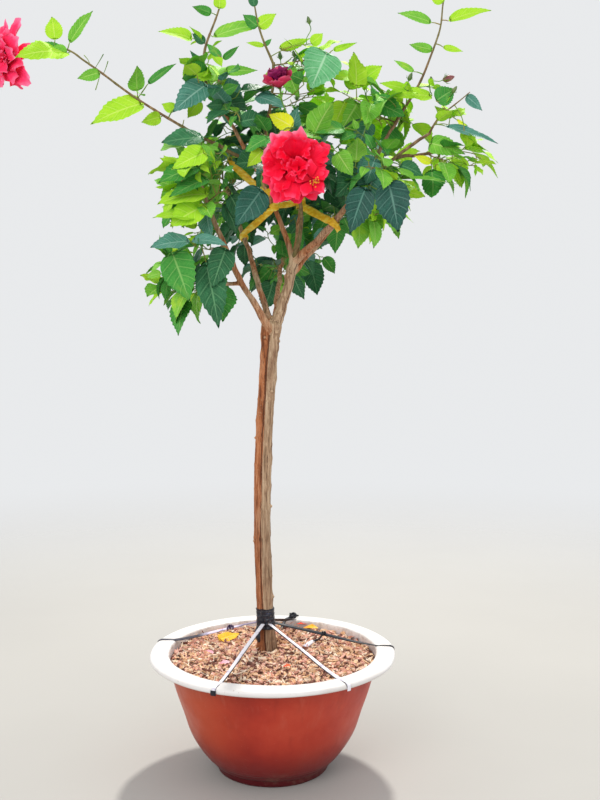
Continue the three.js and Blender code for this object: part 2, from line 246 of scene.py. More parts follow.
# ---------------------------------------------------------------- finish tools
class Shade:
    """A node material, built step by step."""

    def __init__(self, name, rough=0.5, **sockets):
        self.m = bpy.data.materials.new(name)
        self.m.use_nodes = True
        self.t = self.m.node_tree
        self.b = self.t.nodes["Principled BSDF"]
        self.b.inputs["Roughness"].default_value = rough
        for key, value in sockets.items():
            self.b.inputs[key.replace("_", " ")].default_value = value

    def node(self, kind, inputs=(), **settings):
        n = self.t.nodes.new("ShaderNode" + kind)
        for key, value in settings.items():
            setattr(n, key, value)
        for key, value in dict(inputs).items():
            self.put(value, n.inputs[key])
        return n

    def put(self, value, socket):
        if isinstance(value, bpy.types.NodeSocket):
            self.t.links.new(value, socket)
        else:
            socket.default_value = value

    def place(self):
        return self.node("TexCoord").outputs["Object"]

    def uv(self):
        return self.node("UVMap", uv_map="OFBake").outputs["UV"]

    def stretch(self, vector, scale):
        return self.node("Mapping", {"Vector": vector, "Scale": scale}).outputs["Vector"]

    def noise(self, vector, scale, detail=3.0, rough=0.55, distortion=0.0):
        return self.node("TexNoise", {"Vector": vector, "Scale": scale, "Detail": detail, "Roughness": rough, "Distortion": distortion}).outputs["Fac"]

    def cells(self, vector, scale, feature="F1", out="Distance"):
        return self.node("TexVoronoi", {"Vector": vector, "Scale": scale}, feature=feature).outputs[out]

    def ramp(self, fac, stops, easing="LINEAR"):
        n = self.node("ValToRGB", {"Fac": fac})
        n.color_ramp.interpolation = easing
        while len(n.color_ramp.elements) < len(stops):
            n.color_ramp.elements.new(0.5)
        for e, (where, colour) in zip(n.color_ramp.elements, stops):
            e.position = where
            e.color = srgb(colour) if isinstance(colour, str) else (colour, colour, colour, 1)
        return n.outputs["Color"]

    def mix(self, fac, a, b, kind="MIX"):
        n = self.node("Mix", data_type="RGBA", blend_type=kind)
        self.put(fac, n.inputs[0])
        self.put(srgb(a) if isinstance(a, str) else a, n.inputs[6])
        self.put(srgb(b) if isinstance(b, str) else b, n.inputs[7])
        return n.outputs[2]

    def math(self, op, a, b=0.0, c=None, clamp=False):
        n = self.node("Math", operation=op, use_clamp=clamp)
        self.put(a, n.inputs[0])
        self.put(b, n.inputs[1])
        if c is not None:
            self.put(c, n.inputs[2])
        return n.outputs[0]

    def split(self, vector):
        return self.node("SeparateXYZ", {"Vector": vector}).outputs

    def step(self, value, low, high, a=0.0, b=1.0):
        n = self.node("MapRange", {"Value": value, "From Min": low, "From Max": high, "To Min": a, "To Max": b}, interpolation_type="SMOOTHSTEP")
        return n.outputs["Result"]

    def colour(self, value):
        self.put(value, self.b.inputs["Base Color"])
        return self

    def rough(self, value):
        self.put(value, self.b.inputs["Roughness"])
        return self

    def bump(self, height, strength=0.4, distance=0.001):
        n = self.node("Bump", {"Height": height, "Strength": strength, "Distance": distance})
        self.t.links.new(n.outputs["Normal"], self.b.inputs["Normal"])
        return self


# ---------------------------------------------------------------- sizes shared with the solids (mm)
RIM_R, RIM_INNER_R, POT_HEIGHT, RIM_DEPTH = 260.0, 219.0, 253.3, 13.0
BOWL = [(19, 124), (32, 140), (58, 160), (90, 177), (130, 190), (180, 207), (239.8, 223.5)]
MULCH_TOP_Z = 241.0
TRUNK_FOOT = np.array([-13.0, 25.0, 241.4])
HEAD = np.array([-1.0, 24.0, 952.0])
TRUNK_BOW = np.array([-15.0, 0, 0])
TRUNK_TALL = HEAD[2] - MULCH_TOP_Z
STEM_LEFT, STEM_RIGHT = (-9.5, 8.5), (6.0, 12.0)
WRAP_Z = (291.0, 335.0)
STRAP_TURNS = (4, 78.6, 166, 245.6, 306)

BOUGHS = {
    "bough_leader": ((3, 27, 936), (46, 58, 1088), (5, 0, 0), 11.2, 11),
    "bough_low_left": ((-6, 22, 932), (-150, -30, 1245), (-12, -14, 0), 7.2, 4.6),
    "bough_high_left": ((-4, 27, 940), (-110, 200, 1260), (4, -12, 0), 6.6, 4.6),
    "bough_right": ((45, 57, 1076), (190, -60, 1225), (0, 0, -9), 8.2, 5.6),
    "bough_centre": ((44, 58, 1078), (-120, 20, 1415), (16, 30, 0), 5.6, 3.8),
    "bough_middle": ((47, 60, 1078), (50, 240, 1360), (12, 0, 8), 6.2, 4.4),
    "bough_back_low": ((4, 32, 940), (20, 200, 1090), (0, 0, 10), 6.4, 4.6),
    "bough_back_right": ((30, 48, 1040), (210, 190, 1270), (0, 0, -10), 6.8, 4.6),
    "bough_side_left": ((-58, -2, 1030), (-170, -10, 1055), (0, 0, -12), 4.6, 3.4),
}
SHOOTS = {
    "shoot_far_left": ((-150, 2, 1330), (-392, -32, 1478), (0, 0, 4), 4.2, 2.8),
    "shoot_top_left": ((-140, 8, 1460), (-112, 0, 1560), (-4, 0, 0), 3.4, 2.4),
    "shoot_top_centre": ((4, 12, 1480), (-24, 0, 1582), (4, 0, 0), 3.2, 2.2),
    "shoot_top_right": ((262, -36, 1370), (318, -50, 1566), (-10, 0, 0), 4.0, 2.4),
    "shoot_right": ((318, -64, 1325), (412, -100, 1432), (0, 0, -4), 3.6, 2.4),
}
MASSES = {
    "leaves_low_left": ((-170, -10, 1058), (80, 130, 96)),
    "leaves_mid_left": ((-150, -30, 1245), (98, 145, 92)),
    "leaves_upper_left": ((-115, 20, 1412), (92, 120, 78)),
    "leaves_centre": ((35, -95, 1278), (86, 108, 88)),
    "leaves_top_centre": ((52, 20, 1445), (86, 120, 78)),
    "leaves_mid_right": ((190, -60, 1225), (88, 130, 96)),
    "leaves_upper_right": ((232, 0, 1405), (98, 125, 84)),
    "leaves_far_right": ((358, -40, 1298), (84, 105, 92)),
    "leaves_back_left": ((-110, 200, 1260), (112, 105, 132)),
    "leaves_back_centre": ((50, 240, 1360), (104, 86, 120)),
    "leaves_back_right": ((210, 190, 1270), (114, 105, 130)),
    "leaves_back_low": ((20, 200, 1090), (112, 84, 78)),
}
SPRAYS = ("spray_far_left", "spray_top_left", "spray_top_centre", "spray_top_right", "spray_right")


def bowed(limb, t):
    a, b, bow = (np.array(x, float) for x in limb[:3])
    t = np.asarray(t, float)[..., None]
    return (a + (b - a) * t + bow * np.sin(math.pi * t)) * MM


def limb_radius(limb, t):
    r0, r1 = limb[3:5]
    return (r0 + (r1 - r0) * t + 0.35 * r0 * np.exp(-9 * t)) * MM


def trunk_line(t):
    t = np.asarray(t, float)[..., None]
    return (TRUNK_FOOT + (HEAD - TRUNK_FOOT) * t + TRUNK_BOW * np.sin(math.pi * t)) * MM


def trunk_twist(t):
    return 0.12 * np.sin(2.2 * math.pi * t)


def trunk_swell(t, turn):
    up = t * TRUNK_TALL
    foot = 1 + 0.34 * np.exp(-up / 22) * (1 + 0.25 * np.sin(3 * turn))
    head = 1 + 0.22 * np.exp(-((up - TRUNK_TALL + 14) ** 2) / 500)
    return foot * head * (1 + 0.02 * np.sin(19 * t + turn))


def reach(stem, turn):
    x, r = stem
    left = r * r - (x * np.sin(turn)) ** 2
    return np.where(left > 0, x * np.cos(turn) + np.sqrt(np.maximum(left, 0)), 0)


def trunk_section(t, turn):
    """Radius in metres of the two fused stems, seen from the middle of the section."""
    w = trunk_twist(t)
    two = np.maximum(np.maximum(reach(STEM_LEFT, turn + w), reach(STEM_RIGHT, turn + w)), 6)
    return two * trunk_swell(t, turn) * MM

# ---------------------------------------------------------------- pot
def pot_shade():
    s = Shade("pot_red", 0.42, Coat_Weight=0.06, Coat_Roughness=0.25)
    s.b.inputs["Specular IOR Level"].default_value = 0.32
    p = s.place()
    x, y, z = s.split(p)
    cloud = s.noise(p, 5.5, 4, 0.6)
    streak = s.noise(s.stretch(p, (34, 34, 3.2)), 1.0, 4, 0.6)
    speck = s.noise(p, 210, 2, 0.5)
    base = s.ramp(cloud, [(0.30, "98281C"), (0.46, "B43624"), (0.56, "BE3E29"), (0.72, "C64C34")])
    # more orange brown on the left, redder on the right
    base = s.mix(s.math("MULTIPLY", s.step(x, -0.02, -0.19), 0.62), base, "B84E1C")
    base = s.mix(s.math("MULTIPLY", s.step(streak, 0.54, 0.85), 0.26), base, "C46A54")
    base = s.mix(s.math("MULTIPLY", s.step(streak, 0.46, 0.24), 0.30), base, "8A2418")
    # painted shade: darker and redder towards the foot, where the lower bowl is in shade
    low = s.step(z, 0.150, 0.006)
    base = s.mix(s.math("MULTIPLY", low, 0.92), base, "6A0210")
    base = s.mix(s.math("MULTIPLY", s.step(z, 0.040, 0.004), 0.7), base, "40000E")
    # splashed dust in a broken band near the ground and under the lip
    dust = s.math("MULTIPLY", s.step(s.noise(p, 26, 5, 0.7), 0.5, 0.72), s.step(z, 0.07, 0.0))
    base = s.mix(s.math("MULTIPLY", dust, 0.34), base, "8E7A66")
    drip = s.math("MULTIPLY", s.step(s.noise(s.stretch(p, (60, 60, 4)), 1.0, 3), 0.56, 0.7), s.step(z, 0.17, 0.24))
    base = s.mix(s.math("MULTIPLY", drip, 0.14), base, "D08A74")
    base = s.mix(s.math("MULTIPLY", s.step(speck, 0.66, 0.80), 0.12), base, "D8987E")
    scuff = s.step(s.noise(s.stretch(p, (14, 14, 95)), 1.0, 5, 0.7), 0.66, 0.78)
    base = s.mix(s.math("MULTIPLY", scuff, 0.20), base, "CE7C66")
    s.colour(base)
    s.rough(s.ramp(s.noise(p, 18, 5, 0.65), [(0.3, 0.34), (0.7, 0.56)]))
    h = s.math("ADD", s.math("MULTIPLY", s.noise(p, 90, 3), 0.5), s.math("MULTIPLY", streak, 0.5))
    return s.bump(h, 0.25, 0.0012).m


def rim_shade():
    s = Shade("rim_white", 0.36, Coat_Weight=0.1, Coat_Roughness=0.3)
    p = s.place()
    x, y, z = s.split(p)
    far = s.math("SQRT", s.math("ADD", s.math("MULTIPLY", x, x), s.math("MULTIPLY", y, y)))
    base = s.ramp(s.noise(p, 7, 4, 0.6), [(0.3, "D8D1CD"), (0.55, "E8E4E2"), (0.75, "F1EFEE")])
    # a soil stain on the inner edge and specks of husk dust
    inner = s.math("MULTIPLY", s.step(far, 0.2265, 0.2185), s.step(s.noise(p, 42, 5, 0.7), 0.42, 0.66))
    base = s.mix(s.math("MULTIPLY", inner, 0.48), base, "9C7F6A")
    # painted shade: a lilac-grey cast on the lower inner wall, under the lip
    low = s.math("MULTIPLY", s.step(z, 0.249, 0.236), s.step(far, 0.2225, 0.2195))
    base = s.mix(s.math("MULTIPLY", low, 0.50), base, "D6C8CE")
    # painted shade: a darker warm grey on the underside of the outer lip
    under = s.math("MULTIPLY", s.step(z, 0.2435, 0.2405), s.step(far, 0.224, 0.232))
    base = s.mix(s.math("MULTIPLY", under, 0.5), base, "BFA79A")
    speck = s.step(s.noise(p, 160, 2), 0.66, 0.74)
    base = s.mix(s.math("MULTIPLY", speck, 0.35), base, "A58C78")
    scratch = s.step(s.noise(s.stretch(p, (40, 40, 40)), 3.0, 6, 0.8), 0.62, 0.7)
    base = s.mix(s.math("MULTIPLY", scratch, 0.16), base, "B9ADA4")
    s.colour(base)
    s.rough(s.ramp(s.noise(p, 30, 4), [(0.3, 0.28), (0.7, 0.5)]))
    return s.bump(s.noise(p, 120, 4), 0.12, 0.001).m


def pot_profile():
    bowl = catmull([(r, z) for z, r in BOWL], 9)
    r, z = bowl[:, 0].copy(), bowl[:, 1]
    # shallow turned rings above the foot and a bead below the lip
    for centre, high, wide in ((31, 0.9, 2.2), (38, 0.7, 2.0), (46, 0.35, 1.6), (228, 0.8, 2.4)):
        r += high * np.exp(-((z - centre) / wide) ** 2)
    outer = np.stack([r, z], 1)
    foot = [(0.5, 0), (60, 0), (114.5, 0), (117, 0.35), (118.3, 1.6), (119.4, 6), (120.7, 13), (121.1, 15.6), (120.9, 17.2), (120.2, 17.9), (121.4, 18.2)]
    inner = catmull([(r - 2.6, z) for z, r in BOWL[1:]], 3)[::-1]
    lip = [(outer[-1][0] - 0.9, 240.0), (outer[-1][0] - 2.0, 240.0)]
    return np.vstack([foot, outer, lip, inner, [(128, 18), (114, 9.5), (0.5, 6)]])


def out_of_round(r, ang, z):
    """A slightly warped moulding."""
    wave = 0.0006 * np.sin(2 * ang + 0.7) + 0.00035 * np.sin(5 * ang + 2.1) + 0.00025 * np.sin(9 * ang + z * 30)
    return wave * np.clip(r / 0.2, 0, 1), 0 * r


def rim_sag(r, ang, z):
    dz = 0.0007 * np.sin(3 * ang + 0.4) + 0.0004 * np.sin(7 * ang + 1.0)
    dr = 0.0005 * np.sin(2 * ang + 0.7) + 0.0003 * np.sin(11 * ang)
    return dr, np.where(z > 0.2405, dz * np.clip((z - 0.2405) / 0.006, 0, 1), 0)


pot_bag = Bag()
profile = pot_profile() * MM
fine = [profile[0]]
for a, b in zip(profile[:-1], profile[1:]):  # long runs get extra rows for the rings
    n = max(1, int(np.linalg.norm(b - a) / 0.006)) if max(a[0], b[0]) > 0.118 and a[1] > 0.017 else 1
    fine += [a + (b - a) * k / n for k in range(1, n + 1)]
lathe(pot_bag, fine, 224, wobble=out_of_round)
pot = pot_bag.build("pot_shell", [pot_shade()], "pot_red", pattern=False)
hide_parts("pot_body")

rim_bag = Bag()
rb = POT_HEIGHT - RIM_DEPTH
rim_curve = catmull([
    (RIM_R - 4.5, rb + 0.1), (RIM_R - 2.2, rb + 0.5), (RIM_R - 0.7, rb + 2.2), (RIM_R, rb + 5), (RIM_R - 1.0, rb + 8.4), (RIM_R - 4.2, rb + 11.0),
    (RIM_R - 10, rb + 12.3), (RIM_R - 18, rb + 12.8), (RIM_R - 27, rb + 13), (RIM_INNER_R + 7, rb + 12.6), (RIM_INNER_R + 2.4, rb + 11.4),
    (RIM_INNER_R + 0.5, rb + 8.6), (RIM_INNER_R, rb + 4), (RIM_INNER_R - 0.3, rb - 0.5), (RIM_INNER_R - 0.9, rb - 5), (RIM_INNER_R - 1.2, rb - 8.5)], 4)
back = [(RIM_INNER_R + 0.4, rb - 8.5), (RIM_INNER_R + 0.6, rb - 0.6), (RIM_INNER_R + 8, rb + 0.1), (RIM_R - 12, rb + 0.1), (RIM_R - 4.5, rb + 0.1)]
lathe(rim_bag, np.vstack([rim_curve, back]) * MM, 256, wobble=rim_sag)
rim = rim_bag.build("pot_lip", [rim_shade()], "rim_white", pattern=False)
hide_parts("pot_rim")


# ---------------------------------------------------------------- mulch
def bed_height(x, y):
    """The mulch surface in metres."""
    r = np.hypot(x, y) / MM
    z = np.interp(r, [0, 78, 150, 214, 219], [241, 241, 238.4, 233.6, 233.0])
    q = np.stack([x * 28, y * 28, 0 * x], -1)
    return (z + 1.5 * fbm(q, 5, 2) + 2.0 * np.exp(-(np.hypot(x + 0.013, y - 0.025) / 0.04) ** 2)) * MM


def soil_shade():
    s = Shade("soil", 0.95)
    p = s.place()
    base = s.ramp(s.noise(p, 120, 5, 0.7), [(0.3, "462C22"), (0.5, "7E5C4A"), (0.62, "A8826C"), (0.75, "CCA690")])
    return s.colour(base).bump(s.noise(p, 260, 4, 0.7), 0.8, 0.002).m


def husk_shade(name, dark, mid, pale):
    s = Shade("husk_" + name, 0.88)
    p = s.place()
    x = s.noise(s.stretch(p, (1, 1, 1)), 95, 4, 0.7)
    base = s.ramp(x, [(0.32, dark), (0.5, mid), (0.7, pale)])
    fine = s.step(s.noise(p, 900, 2), 0.55, 0.7)
    base = s.mix(s.math("MULTIPLY", fine, 0.3), base, dark)
    return s.colour(base).bump(s.noise(p, 700, 3, 0.6), 0.5, 0.0008).m


bed = Bag()
radii = np.concatenate([[0.0008], np.linspace(0.008, 0.2165, 44)])
ang = np.linspace(0, 2 * math.pi, 160, endpoint=False)
rr, aa = np.meshgrid(radii, ang, indexing="ij")
bx, by = rr * np.cos(aa), rr * np.sin(aa)
bed.add(np.stack([bx, by, bed_height(bx, by)], -1).reshape(-1, 3), ring_faces(len(radii), 160)[:, ::-1])
soil = bed.build("soil_bed", [soil_shade()], "mulch", pattern=False)
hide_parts("mulch_bed")


def chips(rng, n, long, wide, thick, curl):
    """Split flakes of husk, bent and lying every way on the bed: (n, vertices, 3) and faces."""
    rows, cols = 4, 3
    ys = np.linspace(-0.5, 0.5, rows)[None, :, None]
    xs = np.linspace(-0.5, 0.5, cols)[None, None, :]
    taper = 1 - 0.5 * np.abs(2 * ys) ** 2.2
    jx = rng.normal(0, 0.10, (n, rows, cols))
    jy = rng.normal(0, 0.07, (n, rows, cols))
    w = rng.uniform(*wide, n)[:, None, None]
    lo = rng.uniform(*long, n)[:, None, None]
    th = rng.uniform(*thick, n)[:, None, None]
    x = (xs * taper + jx) * w
    y = (ys + jy) * lo
    bend = rng.normal(0, curl, n)[:, None, None] * lo * (ys * 2) ** 2
    cup = rng.normal(0.1, 0.25, n)[:, None, None] * w * (xs * 2) ** 2
    z0 = bend + cup + rng.normal(0, 0.06, (n, rows, cols)) * w
    top = np.stack([x, y, z0 + th / 2], -1).reshape(n, -1, 3)
    low = np.stack([x, y, z0 - th / 2], -1).reshape(n, -1, 3)
    v = np.concatenate([top, low], 1)
    f = ring_faces(rows, cols, around=False)
    k = rows * cols
    edge = [c for c in range(cols)] + [r * cols + cols - 1 for r in range(1, rows)] + \
        [(rows - 1) * cols + c for c in range(cols - 2, -1, -1)] + [r * cols for r in range(rows - 2, 0, -1)]
    side = [[a, a + k, b + k, b] for a, b in zip(edge, edge[1:] + edge[:1])]
    faces = np.vstack([f, f[:, ::-1] + k, side])
    # turn them
    yaw = rng.uniform(0, 2 * math.pi, n)
    pitch = rng.normal(0, 0.30, n)
    roll = rng.normal(0, 0.36, n)
    c, s = np.cos, np.sin
    rx = np.stack([np.ones(n), 0 * n + np.zeros(n), np.zeros(n), np.zeros(n), c(pitch), -s(pitch), np.zeros(n), s(pitch), c(pitch)], -1).reshape(n, 3, 3)
    ry = np.stack([c(roll), np.zeros(n), s(roll), np.zeros(n), np.ones(n), np.zeros(n), -s(roll), np.zeros(n), c(roll)], -1).reshape(n, 3, 3)
    rz = np.stack([c(yaw), -s(yaw), np.zeros(n), s(yaw), c(yaw), np.zeros(n), np.zeros(n), np.zeros(n), np.ones(n)], -1).reshape(n, 3, 3)
    v = np.einsum("nij,nkj->nki", rz @ rx @ ry, v)
    # lay them on the bed, clear of the pot wall and the trunk
    r = 0.2135 * np.sqrt(rng.uniform(0.0, 1, n))
    a = rng.uniform(0, 2 * math.pi, n)
    px, py = r * np.cos(a), r * np.sin(a)
    near = np.hypot(px + 0.013, py - 0.025)
    push = np.where(near < 0.029, 0.029 / np.maximum(near, 1e-4), 1.0)
    px, py = -0.013 + (px + 0.013) * push, 0.025 + (py - 0.025) * push
    half = np.abs(v[:, :, 2]).max(1)
    z = bed_height(px, py) + half * rng.uniform(0.15, 0.95, n) + 0.0004
    v = v + np.stack([px, py, z], -1)[:, None]
    out = np.hypot(v[..., 0], v[..., 1])
    lim = np.where(out > 0.2168, 0.2168 / out, 1.0)
    v[..., 0] *= lim
    v[..., 1] *= lim
    return v, faces


chip_rng = np.random.default_rng(41)
HUSKS = [
    ("tan", ("BC8A64", "EEC69E", "FCE8CE"), 1350, "mulch"),
    ("pink", ("B87A68", "EAB4A0", "F8D8CA"), 1300, "mulch"),
    ("pale", ("DCBC9C", "FAE6CE", "FFF6EA"), 850, "mulch"),
    ("dark", ("4C2C22", "84564A", "B0806E"), 980, "mulch"),
]
for tone, colours, count, slot in HUSKS:
    bag = Bag()
    v, f = chips(chip_rng, int(count * 0.80), (0.006, 0.016), (0.0035, 0.0085), (0.0008, 0.0022), 0.06)
    bag.many(v, f, np.zeros(v.shape[:2] + (2,)))
    v, f = chips(chip_rng, int(count * 0.20), (0.012, 0.028), (0.0012, 0.0026), (0.0009, 0.0016), 0.06)
    bag.many(v, f, np.zeros(v.shape[:2] + (2,)))
    bag.build("husk_" + tone, [husk_shade(tone, *colours)], slot, smooth=False, pattern=False)


# ---------------------------------------------------------------- wrap and straps
def film_shade(name, base_dark, base_pale, rough, crease=60):
    s = Shade(name, rough)
    p = s.place()
    fold = s.noise(s.stretch(p, (1.0, 1.0, 2.6)), crease, 4, 0.6, 0.6)
    base = s.ramp(fold, [(0.3, base_dark), (0.62, base_dark), (0.8, base_pale)])
    dust = s.math("MULTIPLY", s.step(s.noise(p, 180, 4, 0.7), 0.52, 0.7), 0.35)
    base = s.mix(dust, base, "8D8078")
    return s.colour(base).bump(fold, 0.5, 0.0015).m


level = lambda z: (z - MULCH_TOP_Z - 0.4) / (HEAD[2] - MULCH_TOP_Z - 0.4)

wrap = Bag()
rows, cols = 64, 72
zz = np.linspace(WRAP_Z[0], WRAP_Z[1], rows)
turn = np.linspace(0, 2 * math.pi, cols, endpoint=False)
zg, tg = np.meshgrid(zz, turn, indexing="ij")


def wrap_skin(zg, tg, extra=0.0):
    """Film wound on a slant: each turn overlaps the one below in a soft step."""
    t = level(zg)
    middle = trunk_line(t)
    wind = (zg / 9.0 - tg / (2 * math.pi)) % 1.0
    step = 0.9 * (wind ** 2.5)
    crease = 0.55 * fbm(np.stack([np.cos(tg) * 2.4, np.sin(tg) * 2.4, zg / 6 + tg], -1), 77, 3)
    ends = 1.3 * np.exp(-((zg - WRAP_Z[0]) / 3) ** 2) + 0.8 * np.exp(-((zg - WRAP_Z[1]) / 2.2) ** 2)
    r = trunk_section(t, tg) + (1.2 + step + crease + ends * 0.6 + extra) * MM
    # two stems under the film: it bridges the groove between them
    return middle + np.stack([r * np.cos(tg), r * np.sin(tg), 0.0012 * np.sin(tg + 0.8) * np.ones_like(r)], -1)


skin = wrap_skin(zg, tg)
inner_low = trunk_line(level(zg[0])) + (skin[0] - trunk_line(level(zg[0]))) * np.array([0.84, 0.84, 1])
inner_top = trunk_line(level(zg[-1])) + (skin[-1] - trunk_line(level(zg[-1]))) * np.array([0.84, 0.84, 1])
shell = np.concatenate([inner_low[None], skin, inner_top[None]])
wrap.add(shell.reshape(-1, 3), ring_faces(rows + 2, cols))
# a torn end of the film that hangs down at the lower left
tail = catmull([(-0.030, 0.008, 0.300), (-0.0325, 0.002, 0.291), (-0.0315, -0.002, 0.280), (-0.029, -0.004, 0.268)], 6)


def ribbon(bag, points, wide, thick, flat, m=0, curl=0.0, across=3):
    """A closed flat band along a line. flat is the direction its face looks, per point or once."""
    p = np.asarray(points, float)
    t = unit(np.gradient(p, axis=0))
    face = np.broadcast_to(np.asarray(flat, float), p.shape)
    side = unit(np.cross(t, face))
    face = unit(np.cross(side, t))
    n = len(p)
    w = np.broadcast_to(np.asarray(wide, float), (n,))[:, None, None]
    s = np.linspace(-0.5, 0.5, across)[None, :, None]
    mid = p[:, None] + side[:, None] * s * w + face[:, None] * curl * w * (1 - (2 * s) ** 2)
    top = mid + face[:, None] * thick / 2
    low = (mid - face[:, None] * thick / 2)[:, ::-1]
    ring = np.concatenate([top, low], 1)
    k = 2 * across
    f = ring_faces(n, k)
    ends = []
    for base, flip in ((0, True), ((n - 1) * k, False)):
        for j in range(across - 1):
            q = [base + j, base + j + 1, base + k - 2 - j, base + k - 1 - j]
            ends.append(q[::-1] if flip else q)
    bag.add(ring.reshape(-1, 3), np.vstack([f, ends]))


def fixed_faces(obj):
    """Faces point out."""
    import bmesh
    bm = bmesh.new()
    bm.from_mesh(obj.data)
    bmesh.ops.recalc_face_normals(bm, faces=bm.faces)
    bm.to_mesh(obj.data)
    bm.free()
    return obj


ribbon(wrap, tail, np.interp(np.linspace(0, 1, len(tail)), [0, 0.4, 0.8, 1], [0.010, 0.013, 0.010, 0.004]), 0.0009, (-0.45, -0.9, 0.1), curl=0.12, across=5)
wrap_obj = wrap.build("film_wrap", [film_shade("tape_black", "0E1524", "44567A", 0.30)], "tape_black", pattern=False)
fixed_faces(wrap_obj)
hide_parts("trunk_wrap")


def strap_path(degrees, sag=0.0, slack=0.0):
    """Centre line of a strap from the wrap, over the rim and down its outer face."""
    a = math.radians(degrees)
    start = trunk_line(level(303.0)) / MM
    goal = np.array([RIM_R * math.cos(a), RIM_R * math.sin(a)])
    way = unit(goal - start[:2])
    along = float(start[0] * way[0] + start[1] * way[1])
    off = float(start[0] ** 2 + start[1] ** 2 - along ** 2)
    to = lambda r: -along + math.sqrt(r * r - off)
    up = 1.15
    knots = [(15.5, 303.6), (40, 303.6 - 0.22 * 25 - sag), (0.5 * to(RIM_INNER_R) + 6, 279.5 - sag * 1.6), (0.8 * to(RIM_INNER_R), 263.8 - sag), (to(RIM_INNER_R + 2), POT_HEIGHT - 0.9 + up + 0.9), (to(RIM_R - 26), POT_HEIGHT + up - 0.2),
             (to(RIM_R - 13), POT_HEIGHT - 0.1 + up), (to(RIM_R - 5.4), rb + 12 + up), (to(RIM_R - 0.6) + 0.9, rb + 9.8), (to(RIM_R) + 1.1, rb + 5.4), (to(RIM_R) + 1.0, rb + 1.0), (to(RIM_R) + 0.8, rb - 2)]
    line = catmull([(s, z) for s, z in knots], 5)
    pts = np.stack([start[0] + way[0] * line[:, 0], start[1] + way[1] * line[:, 0], line[:, 1]], 1) * MM
    tan = unit(np.gradient(pts, axis=0))
    side = np.array([way[1], -way[0], 0.0])
    face = unit(np.cross(side, tan))
    face = np.where(face[:, 2:3] < -0.2, -face, face)
    return pts, face, np.append(way, 0.0)


def strap_shade(name, top, edge, rough, dark_end=False):
    s = Shade(name, rough)
    s.b.inputs["Specular IOR Level"].default_value = 0.3
    p = s.place()
    crease = s.noise(s.stretch(p, (1, 1, 1)), 70, 4, 0.6, 0.4)
    base = s.ramp(crease, [(0.3, edge), (0.48, top), (0.75, top)])
    spots = s.math("MULTIPLY", s.step(s.noise(p, 300, 3, 0.7), 0.58, 0.72), 0.4)
    base = s.mix(spots, base, edge)
    if dark_end:
        # the far end of the left strap is dark
        x, _, _ = s.split(p)
        base = s.mix(s.math("MULTIPLY", s.step(x, -0.135, -0.165), 0.92), base, "23262C")
        # and it is plum between the knot and the wrap
        base = s.mix(s.math("MULTIPLY", s.step(x, -0.082, -0.066), 0.70), base, "5A4668")
    return s.colour(base).bump(crease, 0.35, 0.001).m


pale_band = strap_shade("strap_pale", "F0ECF4", "B8B0C6", 0.38)
left_band = strap_shade("strap_left", "E2D8F0", "A090B8", 0.40, dark_end=True)
dark_band = strap_shade("strap_dark", "24262E", "0F1116", 0.45)
plum_band = strap_shade("strap_plum", "4A3458", "1E1428", 0.45)
for number, degrees in enumerate(STRAP_TURNS, 1):
    pale = number in (3, 4, 5)
    pts, face, way = strap_path(degrees, sag=(0.6, 0.8, 0.2, 0.0, 0.0)[number - 1])
    bag = Bag()
    n = len(pts)
    u = np.linspace(0, 1, n)
    twist = {1: 0.9, 2: 0.7, 3: 0.5, 4: 0.15, 5: 0.6}[number]
    tan = unit(np.gradient(pts, axis=0))
    side = unit(np.cross(tan, face))
    roll = twist * np.sin(math.pi * np.clip(u / 0.62, 0, 1)) * np.sin(2 * math.pi * u + number)
    if number == 2:
        roll = -0.95 * np.sin(math.pi * np.clip(u / 0.58, 0, 1)) ** 0.5
    flat = face * np.cos(roll)[:, None] + side * np.sin(roll)[:, None]
    wide = 0.008 * (1 - 0.14 * np.sin(math.pi * np.clip(u * 1.5, 0, 1)) ** 2 * (1 + 0.4 * np.sin(9 * u + number)))
    ribbon(bag, pts, wide, 0.0011, flat, curl=0.05, across=5)
    # painted shade: a thin dark band runs under each pale band, standing in for its shaded edge
    if pale:
        shaded_edge_pts = pts - face * 0.0014 + side * (0.0030 if number == 3 else 0.0022) * (1 if number != 4 else -1)
        ribbon(bag, shaded_edge_pts[:-8], 0.0056 if number == 3 else 0.0046, 0.0009, flat[:-8], across=3)
        bag.m[-1][:] = 1
    strap = bag.build("strap_band_%d" % number, [{3: left_band, 4: pale_band, 5: pale_band}.get(number, dark_band), dark_band], "strap_black", pattern=False)
    fixed_faces(strap)
    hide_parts("strap_%d" % number)

def on_bed(px, py, lift=0.006):
    low, high = -0.30, 0.30
    for _ in range(40):
        y = (low + high) / 2
        p = at(px, py, y)
        if p[2] > float(bed_height(p[0], p[1])) + lift:
            low = y
        else:
            high = y
    return at(px, py, (low + high) / 2)


# clip that folds strap 4 over the lip, the knot on strap 2 and loose tails
trim = Bag()
pts, face, way = strap_path(245.6)
side = np.array([way[1], -way[0], 0])
hold = pts[-14:-1] + face[-14:-1] * 0.0011
ribbon(trim, hold, 0.0108, 0.0016, face[-14:-1], across=5, curl=0.03)
pts2, face2, way2 = strap_path(78.6)
knot_at = pts2[np.argmin(np.abs(np.hypot(pts2[:, 0], pts2[:, 1]) - 0.222))] + np.array([0, 0, 0.004])
for k, (size, ahead, up) in enumerate(((0.0072, -0.003, 0.001), (0.0066, 0.004, 0.002), (0.0055, 0.0, 0.006))):
    c = knot_at + way2 * ahead + np.array([0, 0, up])
    loop = np.linspace(0, 2 * math.pi * 1.4, 22)
    turn_pts = c + np.stack([size * np.cos(loop), size * 0.75 * np.sin(loop), 0.0022 * np.sin(loop * 1.7 + k)], 1)
    tube(trim, turn_pts, 0.0022 + 0.0004 * np.sin(loop * 3 + k), 8)
tail2 = catmull([knot_at, knot_at + [-0.016, -0.020, -0.001], knot_at + [-0.022, -0.045, -0.009], knot_at + [-0.030, -0.062, -0.0165]], 7)
ribbon(trim, tail2, 0.0068, 0.0010, (0.2, -0.2, 1), curl=0.1)
pts1, face1, way1 = strap_path(4)
